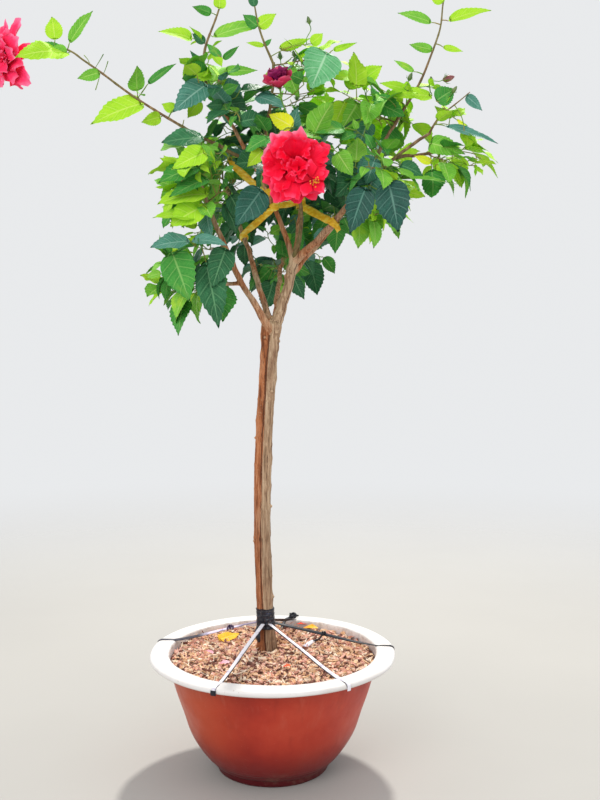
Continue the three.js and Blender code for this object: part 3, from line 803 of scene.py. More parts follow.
here = pts1[np.argmin(np.abs(seen_at(pts1)[:, 0] - 322.5))]
for k in range(2):
    c = here + np.array([0.002 * k, 0.0, 0.0004])
    loop = np.linspace(0, 2 * math.pi * 1.2, 18)
    tube(trim, c + np.stack([0.0016 * np.sin(loop * 0.5) + 0.0026 * k, 0.0052 * np.cos(loop), 0.0030 * np.sin(loop)], 1), 0.0014, 7)
# a plum knot on the left strap
pts3, face3, way3 = strap_path(166, sag=0.2)
here3 = pts3[np.argmin(np.abs(seen_at(pts3)[:, 0] - 233.5))]
for k in range(3):
    c = here3 + way3 * (0.0045 * (k - 1)) + np.array([0, 0, 0.0010 + 0.0016 * (k % 2)])
    loop = np.linspace(0, 2 * math.pi * 1.25, 20)
    tube(trim, c + np.stack([0.0020 * np.sin(loop * 0.6 + k), 0.0056 * np.cos(loop), 0.0034 * np.sin(loop)], 1), 0.0017, 7, 1)
trim_obj = trim.build("strap_trim", [dark_band, plum_band], "strap_black", pattern=False)
fixed_faces(trim_obj)

loose = Bag()
tail1 = catmull([here + [0.0, -0.002, -0.001], on_bed(318.4, 639.4, 0.012), on_bed(312.5, 641.4, 0.009), on_bed(304.5, 646.8, 0.008)], 8)
tail1[:, 2] = np.maximum(tail1[:, 2], bed_height(tail1[:, 0], tail1[:, 1]) + 0.007)
half = int(len(tail1) * 0.60)
tube(loose, tail1[:half + 1], 0.0023, 8, 1)
ribbon(loose, tail1[half:], np.linspace(0.0090, 0.0105, len(tail1) - half), 0.0010, (0.2, -0.2, 1), 0, 0.1)
fixed_faces(loose.build("strap_tail", [pale_band, dark_band], "strap_black", pattern=False))

# ---------------------------------------------------------------- wood
def bark_shade(name, warm, tan, dark, pale):
    """Stringy bark. The mesh's tone attribute holds: which stem, how deep (painted shade in hollows and the groove
    between the stems), how rough.
    """
    s = Shade(name, 0.82)
    p = s.place()
    tone = s.node("Attribute", attribute_name="tone").outputs["Color"]
    sep = s.node("SeparateColor", {"Color": tone}).outputs
    fibre = s.noise(s.stretch(p, (230, 230, 16)), 1.0, 4, 0.65, 0.3)
    broad = s.noise(s.stretch(p, (36, 36, 6)), 1.0, 4, 0.6)
    a = s.ramp(fibre, [(0.30, warm[0]), (0.48, warm[1]), (0.66, warm[2])])
    b = s.ramp(fibre, [(0.30, tan[0]), (0.48, tan[1]), (0.66, tan[2])])
    base = s.mix(s.step(sep[0], 0.35, 0.65), a, b)
    base = s.mix(s.math("MULTIPLY", s.step(broad, 0.52, 0.72), 0.5), base, pale)
    base = s.mix(s.math("MULTIPLY", s.step(broad, 0.46, 0.26), 0.45), base, warm[0])
    # cross-wise corky dots
    dots = s.cells(s.stretch(p, (150, 150, 330)), 1.0)
    dots = s.math("MULTIPLY", s.step(dots, 0.22, 0.10), s.step(s.noise(p, 38, 2), 0.5, 0.62))
    base = s.mix(s.math("MULTIPLY", dots, 0.6), base, "D9BE98")
    # painted shade: hollows and the grooves darken where the tone's second channel is high
    base = s.mix(s.math("MULTIPLY", s.step(sep[1], 0.5, 0.95), 0.80), base, dark)
    base = s.mix(s.math("MULTIPLY", s.step(sep[2], 0.55, 0.95), 0.5), base, pale)
    # darker towards the pot
    height = s.split(p)[2]
    base = s.mix(s.math("MULTIPLY", s.step(height, 0.68, 0.50), 0.34), base, "9C9086", "MULTIPLY")
    s.colour(base)
    s.rough(s.ramp(fibre, [(0.3, 0.92), (0.7, 0.68)]))
    h = s.math("ADD", s.math("MULTIPLY", fibre, 0.8), s.math("MULTIPLY", s.noise(p, 420, 3, 0.6), 0.35))
    return s.bump(h, 0.55, 0.0012).m


def stem_line(stem, t):
    """Middle of one of the two fused stems."""
    x = stem[0] * trunk_swell(t, 0.0)
    w = -trunk_twist(t)
    return trunk_line(t) + np.stack([x * np.cos(w), x * np.sin(w), 0 * x], -1) * MM


wood = Bag()
LINES = []  # [kind, points, radii] of every limb that gets bark
tt = np.linspace(0.0, 0.992, 90)
for kind, stem in enumerate((STEM_LEFT, STEM_RIGHT)):
    pts = stem_line(stem, tt)
    rad = stem[1] * MM * np.ones_like(tt)
    up = tt * TRUNK_TALL
    foot = 0.34 * np.exp(-up / 22)

    def section(row, angle, stem=stem, kind=kind):
        t = tt[row]
        flare = 1 + 0.34 * np.exp(-t * TRUNK_TALL / 22) * (1 + 0.25 * np.sin(3 * angle + 1.3 * kind))
        # low swellings where old side shoots stood
        knots = sum(h * np.exp(-((t * TRUNK_TALL - z) / 9) ** 2) * np.clip(np.cos(angle - a), 0, 1)
                    for z, a, h in ((118, 0.4, 0.16), (243, 2.6, 0.18), (356, -0.7, 0.15), (418, 0.2, 0.2), (500, 3.0, 0.16), (588, 0.9, 0.2), (655, -0.4, 0.26), (676, 2.4, 0.3), (640, 3.6, 0.2)))
        head = 1 + 0.22 * np.exp(-((t * TRUNK_TALL - TRUNK_TALL + 14) ** 2) / 500)
        return flare * head * (1 + knots) * (1 + 0.03 * np.sin(23 * t + 2 * angle + kind * 2) + 0.02 * np.sin(51 * t + 3 * angle))

    tube(wood, pts, rad, 20, shape=section)
    LINES.append((kind, pts, rad))

# burrs at the head, where the trunk was cut and divided
for x, y, z, r in ((-10, 21, 934, 10.5), (5, 20, 940, 12.5), (-3, 29, 946, 12), (9, 30, 936, 9.5), (-13, 27, 925, 8), (-1, 18, 926, 9)):
    c = np.array([x, y, z]) * MM
    a = np.linspace(0.05, math.pi - 0.05, 9)
    tube(wood, c + np.stack([0 * a, 0 * a, -np.cos(a) * r * MM], 1), np.maximum(np.sin(a), 0.1) * r * MM, 14,
         shape=lambda row, angle: 1 + 0.08 * np.sin(2 * angle + row))
for number, (name, limb) in enumerate(BOUGHS.items()):
    n = max(12, int(np.linalg.norm(np.subtract(limb[1], limb[0])) / 5))
    t = np.linspace(0, 1, n)
    line = bowed(limb, t)
    # real limbs kink a little at every old leaf joint
    wave = fbm(np.stack([t * 9 + number * 7.3, 0 * t, 0 * t], 1), 31, 2), fbm(np.stack([t * 9 + number * 3.1, 0 * t + 4, 0 * t], 1), 32, 2)
    hold = np.clip(np.minimum(t, 1 - t) * 6, 0, 1)[:, None] * 0.0022
    line = line + np.stack([wave[0], wave[1], 0 * t], 1) * hold
    rad = limb_radius(limb, t) * (0.97 + 0.05 * np.sin(t * 37 + number) ** 8)
    tube(wood, line, rad, 14, shape=lambda row, angle, number=number: 1 + 0.05 * np.sin(2 * angle + row * 0.21 + number))
    LINES.append((2 if name != "bough_leader" else 3, line, rad))
# the leader is two limbs grown together, so a groove runs up its front
line = LINES[2][1]
# short pruned pegs
PEGS = []
for x, z, side, size in ((14, 905, 1.0, 5.0), (13, 924, 0.7, 5.4), (-15, 913, -0.9, 4.4), (13, 553, 1.0, 4.0), (15, 357, 1.0, 4.0), (-27, 700, -1.0, 3.4), (-33, 478, -1.0, 3.6), (8, 800, 0.8, 3.6)):
    root = np.array([x * 0.55 - (2 if z < 800 else 0) , 14.0 if abs(side) < 0.95 else 20.0, z]) * MM
    way = unit([side, -0.8 if abs(side) < 0.95 else -0.25, 0.35])
    t01 = (z - MULCH_TOP_Z) / TRUNK_TALL
    turn = math.atan2(way[1], way[0])
    skin_r = float(trunk_section(np.array(t01), np.array(turn)))
    middle = trunk_line(np.array(t01))
    a = middle + np.array([math.cos(turn), math.sin(turn), 0]) * (skin_r - 0.005)
    b = middle + np.array([math.cos(turn), math.sin(turn), 0.25]) * (skin_r + 0.0035)
    tube(wood, np.linspace(a, b, 5), np.array([1.25, 1.1, 1.0, 0.98, 0.95]) * size * 0.8 * MM, 12)
    PEGS.append((b, size * 0.8 * MM))


def remeshed(bag, name, voxel):
    """One skin round all the limbs in the bag."""
    v, f = np.vstack(bag.v), np.vstack(bag.f)
    me = bpy.data.meshes.new(name + "_raw")
    me.from_pydata(v.tolist(), [], [[int(i) for i in q if i >= 0] for q in f])
    me.update()
    obj = bpy.data.objects.new(name + "_raw", me)
    scene.collection.objects.link(obj)
    mod = obj.modifiers.new("skin", "REMESH")
    mod.mode, mod.voxel_size, mod.adaptivity = "VOXEL", voxel, 0.0
    done = obj.evaluated_get(bpy.context.evaluated_depsgraph_get())
    out = bpy.data.meshes.new_from_object(done)
    bpy.data.objects.remove(obj)
    bpy.data.meshes.remove(me)
    nv, nf = len(out.vertices), len(out.polygons)
    co = np.empty(nv * 3, np.float32)
    out.vertices.foreach_get("co", co)
    idx = np.empty(len(out.loops), np.int32)
    out.loops.foreach_get("vertex_index", idx)
    count = np.empty(nf, np.int32)
    out.polygons.foreach_get("loop_total", count)
    bpy.data.meshes.remove(out)
    faces = np.full((nf, 4), -1, np.int64)
    start = np.concatenate([[0], np.cumsum(count)[:-1]])
    for c in range(4):
        has = count > c
        faces[has, c] = idx[start[has] + c]
    return co.reshape(-1, 3).astype(float), faces


def edges_of(f):
    e = []
    for a, b in ((0, 1), (1, 2), (2, 3), (3, 0)):
        both = (f[:, a] >= 0) & (f[:, b] >= 0)
        e.append(f[both][:, [a, b]])
    tri = f[:, 3] < 0
    e.append(f[tri][:, [2, 0]])
    return np.vstack(e)


def average(v, e):
    """Each vertex's neighbours' mean."""
    total = np.zeros_like(v)
    count = np.zeros(len(v))
    for a, b in ((0, 1), (1, 0)):
        for c in range(v.shape[1]):
            total[:, c] += np.bincount(e[:, a], weights=v[e[:, b], c], minlength=len(v))
        count += np.bincount(e[:, a], minlength=len(v))
    return total / np.maximum(count, 1)[:, None]


def normals_of(v, f):
    q = np.where(f[:, 3:] >= 0, f[:, 3:], f[:, 2:3])
    n = np.cross(v[f[:, 2]] - v[f[:, 0]], v[q[:, 0]] - v[f[:, 1]])
    n[f[:, 3] < 0] = np.cross(v[f[:, 1]] - v[f[:, 0]], v[f[:, 2]] - v[f[:, 0]])[f[:, 3] < 0]
    out = np.zeros_like(v)
    for c in range(4):
        has = f[:, c] >= 0
        for k in range(3):
            out[:, k] += np.bincount(f[has, c], weights=n[has, k], minlength=len(v))
    return unit(out)


co, faces = remeshed(wood, "wood", 0.00165)
edges = edges_of(faces)
for _ in range(3):
    co = co * 0.5 + average(co, edges) * 0.5
normal = normals_of(co, faces)

tree = kdtree.KDTree(sum(len(p) for _, p, _ in LINES))
info = []
for kind, p, r in LINES:
    t, a, b = sides_along(p)
    s = np.concatenate([[0], np.cumsum(np.linalg.norm(np.diff(p, axis=0), axis=1))])
    for k in range(len(p)):
        tree.insert(p[k], len(info))
        info.append((kind, len(info), s[k] + 3.7 * len(LINES) * kind, r[k]))
tree.balance()
flat_p = np.vstack([p for _, p, _ in LINES])
flat_t = np.vstack([sides_along(p)[0] for _, p, _ in LINES])
flat_a = np.vstack([sides_along(p)[1] for _, p, _ in LINES])
flat_b = np.vstack([sides_along(p)[2] for _, p, _ in LINES])
flat_kind = np.array([i[0] for i in info])
flat_s = np.array([i[2] for i in info])
flat_r = np.array([i[3] for i in info])
near = np.array([tree.find(x)[1] for x in co])
off = co - flat_p[near]
s_at = flat_s[near] + (off * flat_t[near]).sum(1)
turn = np.arctan2((off * flat_b[near]).sum(1), (off * flat_a[near]).sum(1))
size = flat_r[near]
kind = flat_kind[near]
ring = np.stack([np.cos(turn) * 6.5, np.sin(turn) * 6.5, s_at * 34], 1)
fibres = fbm(ring, 3, 3)
coarse = fbm(np.stack([np.cos(turn) * 2.2, np.sin(turn) * 2.2, s_at * 30], 1), 8, 3)
rings = np.exp(-((((s_at * 1000 + 9 * noise3(np.stack([s_at * 12, 0 * s_at, 0 * s_at], 1), 4)) % 47) - 23) / 3.2) ** 2)
grain = -np.abs(fibres)
amount = np.where(kind < 2, 1.0, 0.62)
relief = (0.0010 * (grain + 0.35) + 0.00075 * coarse + 0.00045 * rings) * amount * np.clip(size / 0.010, 0.35, 1.2)
groove = np.zeros(len(co))
# the groove between the two stems, and the seam up the leader
trunk_part = kind < 2
t_here = np.clip((co[:, 2] / MM - TRUNK_FOOT[2]) / (HEAD[2] - TRUNK_FOOT[2]), 0, 1)
middle = trunk_line(t_here)
w = -trunk_twist(t_here)
across = ((co - middle) * np.stack([np.cos(w), np.sin(w), 0 * w], 1)).sum(1) / MM
wander = 1.1 * noise3(np.stack([co[:, 2] * 14, 0 * across, 0 * across], 1), 9)
groove = np.where(trunk_part, np.exp(-((across + 3.6 + wander) / 1.7) ** 2), 0) * np.clip((0.945 - co[:, 2]) / 0.03, 0, 1)
# deep near the mulch and under the head, shallow between
groove = groove * np.interp(co[:, 2], [0.24, 0.40, 0.47, 0.56, 0.64, 0.71, 0.80, 0.95], [1.0, 0.95, 0.45, 0.30, 0.35, 0.75, 1.0, 1.0])
lead = kind == 3
lead_seam = np.exp(-(np.abs(turn - 2.9) / 0.22) ** 2) + np.exp(-(np.abs(turn + 0.6) / 0.18) ** 2)
groove = groove + np.where(lead, lead_seam, 0) * 0.9
relief = relief - 0.0021 * groove
co = co + normal * relief[:, None]
co = co * 0.8 + average(co, edges) * 0.2
co[:, 2] = np.maximum(co[:, 2], 0.2398)
normal = normals_of(co, faces)
depth = ((average(co, edges) - co) * normal).sum(1) / 0.00016
cut = np.zeros(len(co))
for place, r in PEGS:
    d = np.linalg.norm(co - place, axis=1)
    cut = np.maximum(cut, np.clip(1.6 - d / r, 0, 1))
# the tone's second channel is painted shade, darker in hollows and along the grooves
tone = np.stack([np.where(kind == 0, 0.0, np.where(kind == 1, 1.0, np.where(kind == 3, 0.62, 0.50 + 0.25 * noise3(co * 30, 3)))),
                 np.clip(0.35 + depth * 0.25 + groove * 0.75 - 0.3 * fibres, 0, 1),
                 np.clip(cut * 1.2 + 0.1 * coarse, 0, 1), np.ones(len(co))], 1)
# shade of the stems blends over a little at the seam
tone[:, :1] = average(average(tone[:, :1], edges), edges)

skin = Bag()
skin.add(co, faces)
wood_obj = skin.build("bark", [bark_shade("bark", ("602F18", "AE683C", "D2946A"), ("6C543E", "AA886A", "D2B696"), "4A2614", "D6B896")], "bark", pattern=False)
layer = wood_obj.data.color_attributes.new("tone", "FLOAT_COLOR", "POINT")
layer.data.foreach_set("color", tone.astype(np.float32).ravel())
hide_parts("trunk", *BOUGHS)
print("wood", len(co), "points")

# ---------------------------------------------------------------- shoots and twigs
def mm_line(*points):
    return np.array(points, float) * MM


P = lambda name, t: bowed(BOUGHS[name], np.array(t)) / MM
# limbs that grow on from the boughs and bear the outer shoots: line, radius at each end
BEARERS = {
    "far_left": (mm_line(P("bough_centre", 0.6), (-92, 42, 1306), (-150, 6, 1330)), 4.0, 3.6),
    "top_left": (mm_line(P("bough_centre", 0.96), (-134, 12, 1438), (-141, 8, 1460)), 3.4, 3.2),
    "top_centre": (mm_line(P("bough_centre", 0.46), (-14, 60, 1330), (0, 26, 1420), (4, 12, 1480)), 3.8, 3.0),
    "top_right": (mm_line(P("bough_right", 0.97), (216, -50, 1290), (244, -40, 1338), (262, -36, 1370)), 4.0, 3.1),
    "right": (mm_line(P("bough_right", 0.93), (236, -68, 1266), (284, -68, 1304), (318, -64, 1325)), 3.8, 2.9),
    "far_right": (mm_line((250, -67, 1277), (308, -48, 1286), (352, -40, 1296)), 3.4, 2.6),
    "centre": (mm_line((47, 52, 1086), (61, 14, 1148), (56, -48, 1206), (42, -72, 1262)), 4.6, 3.0),
}
SHOOT_LINES = {
    "shoot_far_left": ([(187, 130.5, 0.0), (158, 112, -0.010), (130.5, 94.7, -0.019), (103, 73.7, -0.028), (84, 60.5, -0.033), (69.5, 50.5, -0.036), (52, 47, -0.044), (36, 53, -0.050)], 3.1, 1.7),
    "shoot_top_left": ([(205.5, 77, 0.008), (201.5, 60, 0.005), (206, 44, 0.003), (213, 26, 0.001), (219, 9, 0.0), (223, -9, 0.0)], 3.0, 1.5),
    "shoot_top_centre": ([(273, 70, 0.012), (270.5, 63, 0.010), (265, 46, 0.006), (258.5, 26, 0.002), (255, 8, 0.0), (253, -4, 0.0)], 2.8, 1.3),
    "shoot_top_right": ([(404, 132, -0.036), (410, 112, -0.038), (418.5, 88, -0.041), (427, 66, -0.044), (433, 50, -0.046), (439, 33, -0.048), (441.5, 20, -0.049), (442.5, 8, -0.050), (445, -10, -0.050), (449, -28, -0.052)], 2.9, 1.1),
    "shoot_right": ([(407, 135, -0.066), (424, 125, -0.074), (442, 114, -0.082), (458, 102, -0.092), (470, 92, -0.098)], 2.3, 0.9),
}
HOSTS = []  # [points, radii, first share that may branch]
for name, limb in BOUGHS.items():
    t = np.linspace(0, 1, 60)
    free = {"bough_leader": 0.97, "bough_low_left": 0.42, "bough_high_left": 0.5, "bough_right": 0.46, "bough_centre": 0.36, "bough_middle": 0.4, "bough_back_low": 0.35, "bough_back_right": 0.4, "bough_side_left": 0.2}[name]
    HOSTS.append((bowed(limb, t), limb_radius(limb, t), free, name))
shoot_bag = Bag()
for number, (name, (line, r0, r1)) in enumerate(BEARERS.items()):
    pts = catmull(line, 9)
    rad = np.linspace(r0, r1, len(pts)) * MM * (1 + 0.5 * np.exp(-np.arange(len(pts)) / 2.0))
    pts = pts + 0.0012 * np.stack([fbm(np.stack([np.arange(len(pts)) * 0.35 + number * 9, 0 * rad, 0 * rad + c], 1), 61 + c, 2) for c in range(3)], 1) * np.clip(np.minimum(np.arange(len(pts)), len(pts) - 1 - np.arange(len(pts))) / 3, 0, 1)[:, None]
    tube(shoot_bag, pts, rad, 10, shape=lambda row, angle, n=number: 1 + 0.06 * np.sin(2 * angle + row * 0.5 + n))
    HOSTS.append((pts, rad, 0.12 if name != "centre" else 0.5, name))
SHOOTS_AT = {}
for number, (name, (line, r0, r1)) in enumerate(SHOOT_LINES.items()):
    pts = catmull([at(*p) for p in line], 8)
    ahead = HOSTS[[h[3] for h in HOSTS].index(name.replace("shoot_", ""))][0]
    left = np.linalg.norm(pts - pts[-1], axis=1)
    keep = pts[left < np.linalg.norm(ahead[-1] - pts[-1]) * 0.84 - 0.008]
    pts = catmull(np.vstack([ahead[-2:], keep[::4], keep[-1:]]), 4)
    soft = np.interp(np.arange(len(pts)), [0, 2, len(pts) * 0.3, len(pts) * 0.5], [0, 0.5, 0.5, 0])[:, None]
    for _ in range(25):
        mean = pts.copy()
        mean[1:-1] = (pts[:-2] + pts[2:]) / 2
        pts = pts * (1 - soft) + mean * soft
    s = np.concatenate([[0], np.cumsum(np.linalg.norm(np.diff(pts, axis=0), axis=1))])
    joint = 1 + 0.16 * np.exp(-(((s * 1000) % 31 - 15) / 2.6) ** 2)
    rad = np.interp(s, [0, s[-1]], [r0, r1]) * MM * joint
    tube(shoot_bag, pts, rad, 9)
    SHOOTS_AT[name] = (pts, rad)
    HOSTS.append((pts, rad, 0.0, name))


def twig_shade():
    s = Shade("young_bark", 0.62)
    p = s.place()
    fine = s.noise(s.stretch(p, (150, 150, 60)), 1.0, 4, 0.6)
    base = s.ramp(fine, [(0.3, "4C3220"), (0.5, "7A5A3A"), (0.7, "A0805A")])
    green = s.step(s.noise(p, 9, 2), 0.42, 0.6)
    base = s.mix(s.math("MULTIPLY", green, 0.45), base, "6E7A3A")
    dots = s.step(s.cells(p, 420), 0.20, 0.08)
    base = s.mix(s.math("MULTIPLY", dots, 0.5), base, "C2A988")
    return s.colour(base).bump(fine, 0.4, 0.0006).m


bark_young = twig_shade()

# leaves that make the outline: base and tip in the frame, width as seen, depth of the
# base, how much nearer the tip is, and tone
OUTLINE = [
    # far left shoot
    (55, 40, 52.6, 17, 16, -0.034, 0.0, "lime"), (69.5, 43, 92.6, 11.6, 8.5, -0.034, 0.01, "fresh"), (66, 51.5, 18, 58, 13, -0.040, 0.085, "lime"), (67, 54, 50, 47.5, 13, -0.062, 0.012, "fresh"), (61, 49, 35, 44.5, 10, -0.034, 0.02, "mid"),
    (100, 72.6, 78, 79, 11, -0.030, 0.01, "fresh"), (144, 103, 90.5, 121, 19, -0.022, 0.03, "lime"), (161, 117, 141.5, 121.5, 13, -0.012, 0.012, "lime"),
    (148, 84, 175, 63.6, 6, -0.014, -0.01, "mid"), (176, 107.5, 161.7, 105, 8, -0.006, 0.0, "lime"),
    # top left
    (211.6, 13, 192.6, 6, 9, 0.0, 0.01, "mid"), (219, 9, 222, -9, 12, 0.0, 0.0, "lime"), (192.6, 38.5, 159, 30.5, 13, 0.0, 0.02, "lime"),
    (205, 43, 193, 33, 9, 0.0, 0.0, "dark"), (213, 37, 260, 26.5, 8.5, 0.0, -0.02, "fresh"), (221, 58, 207, 43, 8, 0.0, 0.0, "mid"),
    (223, 59, 239, 46.7, 6.5, 0.0, 0.0, "mid"), (204, 67, 189, 52, 7, 0.0, 0.01, "dark"), (191, 83, 184, 63, 11, 0.0, 0.02, "lime"),
    (211, 72, 193, 81, 11, -0.01, 0.02, "lime"), (207, 84, 174, 112, 24, -0.02, 0.03, "blue"), (200, 100, 187, 117, 15, 0.0, 0.0, "lime"),
    (174, 110.5, 162, 104, 9, -0.005, 0.0, "lime"), (225, 70.5, 257, 71.6, 10, 0.0, -0.01, "fresh"), (223, 105, 206.7, 104, 11, -0.03, 0.02, "dark"),
    (240, 90, 281, 97, 13, -0.03, 0.01, "dark"), (256, 96, 285, 108, 12, -0.05, 0.02, "blue"), (293, 127, 270, 113, 17, -0.115, 0.01, "yellow"),
    (223, 92, 238, 85, 11, -0.01, 0.0, "mid"),
    # top centre
    (258, 26.5, 243, 15, 12, 0.0, 0.01, "mid"), (258, 26.5, 276, 14, 13, 0.0, 0.01, "lime"), (255, 7, 251, -8, 9, 0.0, 0.0, "dark"),
    (264, 46, 247, 41, 5, 0.005, 0.0, "lime"), (264, 46, 271.6, 39, 4.5, 0.005, 0.0, "mid"), (279, 48, 310, 42, 10, -0.01, 0.0, "lime"),
    (311, 44, 323, 34, 11, -0.02, 0.0, "lime"), (333, 50, 357, 43.5, 6, -0.02, -0.01, "lime"), (327, 52, 311, 89, 37, -0.05, 0.02, "pale"),
    (303, 80, 290, 74, 12, -0.05, 0.01, "mid"), (360, 81, 382, 66, 17, -0.03, 0.0, "lime"), (358, 76, 350, 61, 9, -0.03, 0.0, "fresh"),
    # top right
    (444, 2, 431, -9, 13, -0.050, 0.0, "lime"), (445, -10, 465, -17, 10, -0.050, 0.0, "fresh"), (447, -20, 427, -27, 10, -0.050, 0.0, "lime"),
    (449, -27, 459, -41, 11, -0.051, 0.0, "lime"), (449, -27, 445, -43, 8, -0.051, -0.01, "lime"), (431.6, 22.5, 398, 14.3, 8, -0.049, 0.01, "fresh"), (448.4, 21, 490, 8.8, 8, -0.049, 0.012, "lime"),
    (432.6, 50, 409.5, 44.6, 9, -0.046, 0.01, "fresh"), (443, 47, 463, 50, 6, -0.046, 0.0, "lime"), (414, 71.6, 395, 59.4, 6, -0.043, 0.0, "fresh"),
    (409, 90, 380, 84, 9, -0.040, 0.02, "lime"), (432, 96, 393, 97, 11, -0.045, 0.02, "lime"), (436, 101, 454, 88, 19, -0.07, 0.0, "mid"),
    (372, 100, 403, 119, 20, -0.05, 0.02, "mid"), (377, 106, 360, 119, 16, -0.05, 0.02, "lime"),
    # right
    (466, 96, 483, 109, 10, -0.095, 0.0, "blue"), (445, 126, 496, 145, 7, -0.086, 0.02, "blue"), (429, 143, 465, 153, 20, -0.09, 0.02, "fresh"),
    (432, 162, 414, 158, 8, -0.09, 0.0, "yellow"), (434, 167, 461, 168, 8, -0.09, 0.0, "lime"), (400, 165, 423, 175, 13, -0.10, 0.01, "dark"),
    (399, 178, 456, 185, 11, -0.10, 0.02, "fresh"), (366, 187, 348, 232, 28, -0.185, 0.01, "deep"), (388, 181, 402, 230, 34, -0.19, 0.01, "deep"),
    # left and round the bloom
    (204, 137, 163, 143, 12, -0.08, 0.03, "dark"), (206, 152, 172, 168, 19, -0.13, 0.02, "lime"), (200, 166, 160, 184, 16, -0.14, 0.02, "mid"), (209, 194, 158, 204, 15, -0.13, 0.02, "lime"), (206, 205, 171, 226, 16, -0.135, 0.02, "lime"), (196, 217, 153, 216, 12, -0.12, 0.02, "lime"),
    (208, 178, 170, 197, 16, -0.12, 0.03, "mid"), (215, 158, 190, 148, 14, -0.12, 0.01, "fresh"), (190, 241, 151, 247, 12, -0.14, 0.02, "blue"),
    (192, 240, 227, 246, 11, -0.14, 0.02, "blue"), (172, 252, 190, 300, 34, -0.12, 0.02, "mid"), (206, 262, 221, 326, 30, -0.10, 0.02, "dark"),
    (226, 248, 212, 287, 26, -0.11, 0.02, "dark"), (263, 150, 247, 166, 13, -0.15, 0.01, "lime"), (262, 189, 236, 226, 30, -0.12, 0.01, "deep"),
    (240, 122, 266, 119, 12, -0.10, 0.01, "dark"), (345, 128, 310, 133, 12, -0.10, 0.02, "mid"), (337, 152, 352, 176, 20, -0.13, 0.01, "fresh"),
]
grow_rng = np.random.default_rng(1907)
STEP, REACH, KILL = 0.0165, 0.155, 0.031


def in_mass(rng, name, n, outer=0.30, shrink=0.84):
    centre, half = (np.array(x, float) * MM for x in MASSES[name])
    d = unit(rng.normal(size=(n, 3)))
    lump = 1 + 0.16 * noise3(d * 1.7 + centre * 31, 11)
    return centre + d * half * shrink * lump[:, None] * rng.uniform(0, 1, n)[:, None] ** outer


# places that a twig has to reach: pedicels and leaves read from the outline
TARGETS = {
    "main_bloom": np.array([0.056, -0.128, 1.205]),
    "bud_bloom": at(297, 135, -0.085),
    "bud_high": at(309.5, 43, -0.02),
    "bud_mid": at(297, 66, -0.03),
    "bud_right": at(426, 88, -0.055),
    "bud_left": at(223, 92, -0.02),
    "upper_band": at(229, 165, 0.10),
}


def grow(hosts, lures, must):
    pos, parent, host_r, lead = [], [], [], []
    for pts, rad, free, _ in hosts:
        s = np.concatenate([[0], np.cumsum(np.linalg.norm(np.diff(pts, axis=0), axis=1))])
        for x in np.arange(s[-1] * free, s[-1] + 1e-6, 0.018):
            k = min(int(np.searchsorted(s, x)), len(s) - 1)
            pos.append(pts[k]); parent.append(-1); host_r.append(rad[k])
            lead.append(unit(pts[min(k + 1, len(pts) - 1)] - pts[max(k - 1, 0)]))
    pos, lead = np.array(pos), np.array(lead)
    first = len(pos)
    lure = np.vstack([lures, must])
    is_must = np.arange(len(lure)) >= len(lures)
    d = np.linalg.norm(lure[:, None] - pos[None], axis=2)
    who, far = d.argmin(1), d.min(1)
    alive = far > np.where(is_must, 0.010, KILL)
    for turn in range(90):
        wide = np.where(is_must, 0.5, REACH + 0.004 * turn)
        act = alive & (far < wide)
        if not act.any():
            break
        pull = np.zeros_like(pos)
        w = np.where(is_must[act], 2.5, 1.0)[:, None]
        np.add.at(pull, who[act], unit(lure[act] - pos[who[act]]) * w)
        busy = np.unique(who[act])
        way = unit(pull[busy]) + 0.45 * lead[busy] * (np.array([parent[b] >= 0 for b in busy])[:, None] * 0.8 + 0.2) + np.array([0, 0, 0.10])
        way = unit(way + grow_rng.normal(0, 0.13, way.shape))
        new = pos[busy] + way * STEP
        dn = np.linalg.norm(new[:, None] - pos[None], axis=2).min(1)
        ok = dn > STEP * 0.42
        if not ok.all():
            stuck = busy[~ok]
            for b in stuck:
                mine = np.where(act & (who == b) & ~is_must)[0]
                alive[mine] = False
            new, busy, way = new[ok], busy[ok], way[ok]
        if not len(new):
            continue
        base = len(pos)
        pos = np.vstack([pos, new]); lead = np.vstack([lead, way])
        parent += list(busy); host_r += [0.0] * len(new)
        dd = np.linalg.norm(lure[:, None] - new[None], axis=2)
        best, bd = dd.argmin(1), dd.min(1)
        closer = bd < far
        who = np.where(closer, best + base, who)
        far = np.minimum(far, bd)
        alive &= far > np.where(is_must, 0.012, KILL)
    return pos, np.array(parent), np.array(host_r), first


LURE_COUNT = {"leaves_low_left": 92, "leaves_mid_left": 150, "leaves_upper_left": 100, "leaves_centre": 120, "leaves_top_centre": 84, "leaves_mid_right": 140,
              "leaves_upper_right": 124, "leaves_far_right": 104, "leaves_back_left": 116, "leaves_back_centre": 96, "leaves_back_right": 116, "leaves_back_low": 68}
lures = np.vstack([in_mass(grow_rng, name, n) for name, n in LURE_COUNT.items()])
# a few more behind the fork, where four masses meet
behind = unit(grow_rng.normal(size=(84, 3))) * grow_rng.uniform(0, 1, (84, 1)) ** 0.4
lures = np.vstack([lures, np.array([0.052, 0.215, 1.205]) + behind * np.array([0.095, 0.062, 0.070])])
# and between the front and the back of the crown, so that it is round from the sides
between = unit(grow_rng.normal(size=(76, 3))) * grow_rng.uniform(0, 1, (76, 1)) ** 0.4
lures = np.vstack([lures, np.array([0.060, 0.140, 1.372]) + between * np.array([0.195, 0.058, 0.052])])
BLOOM = np.array([0.051, -0.198, 1.242])
# where sky shows between the shoots: middle and half axes in the frame
SKY = ((404, 56, 40, 27), (345, 14, 62, 30), (300, 24, 24, 22), (372, 52, 22, 10), (278, 40, 16, 22), (236, 42, 17, 11), (160, 72, 22, 26), (474, 62, 34, 30), (492, 100, 34, 24), (452, 136, 14, 7),
       (244, 82, 15, 9), (254, 60, 10, 7), (201, 112, 8, 10), (229, 98, 9, 6), (295, 94, 11, 9), (482, 117, 20, 13))

# where the crown is thin: middle, half axes and the share of leaves left out
THIN = ((284, 88, 62, 21, 0.62), (420, 140, 30, 44, 0.34), (188, 160, 26, 42, 0.34))


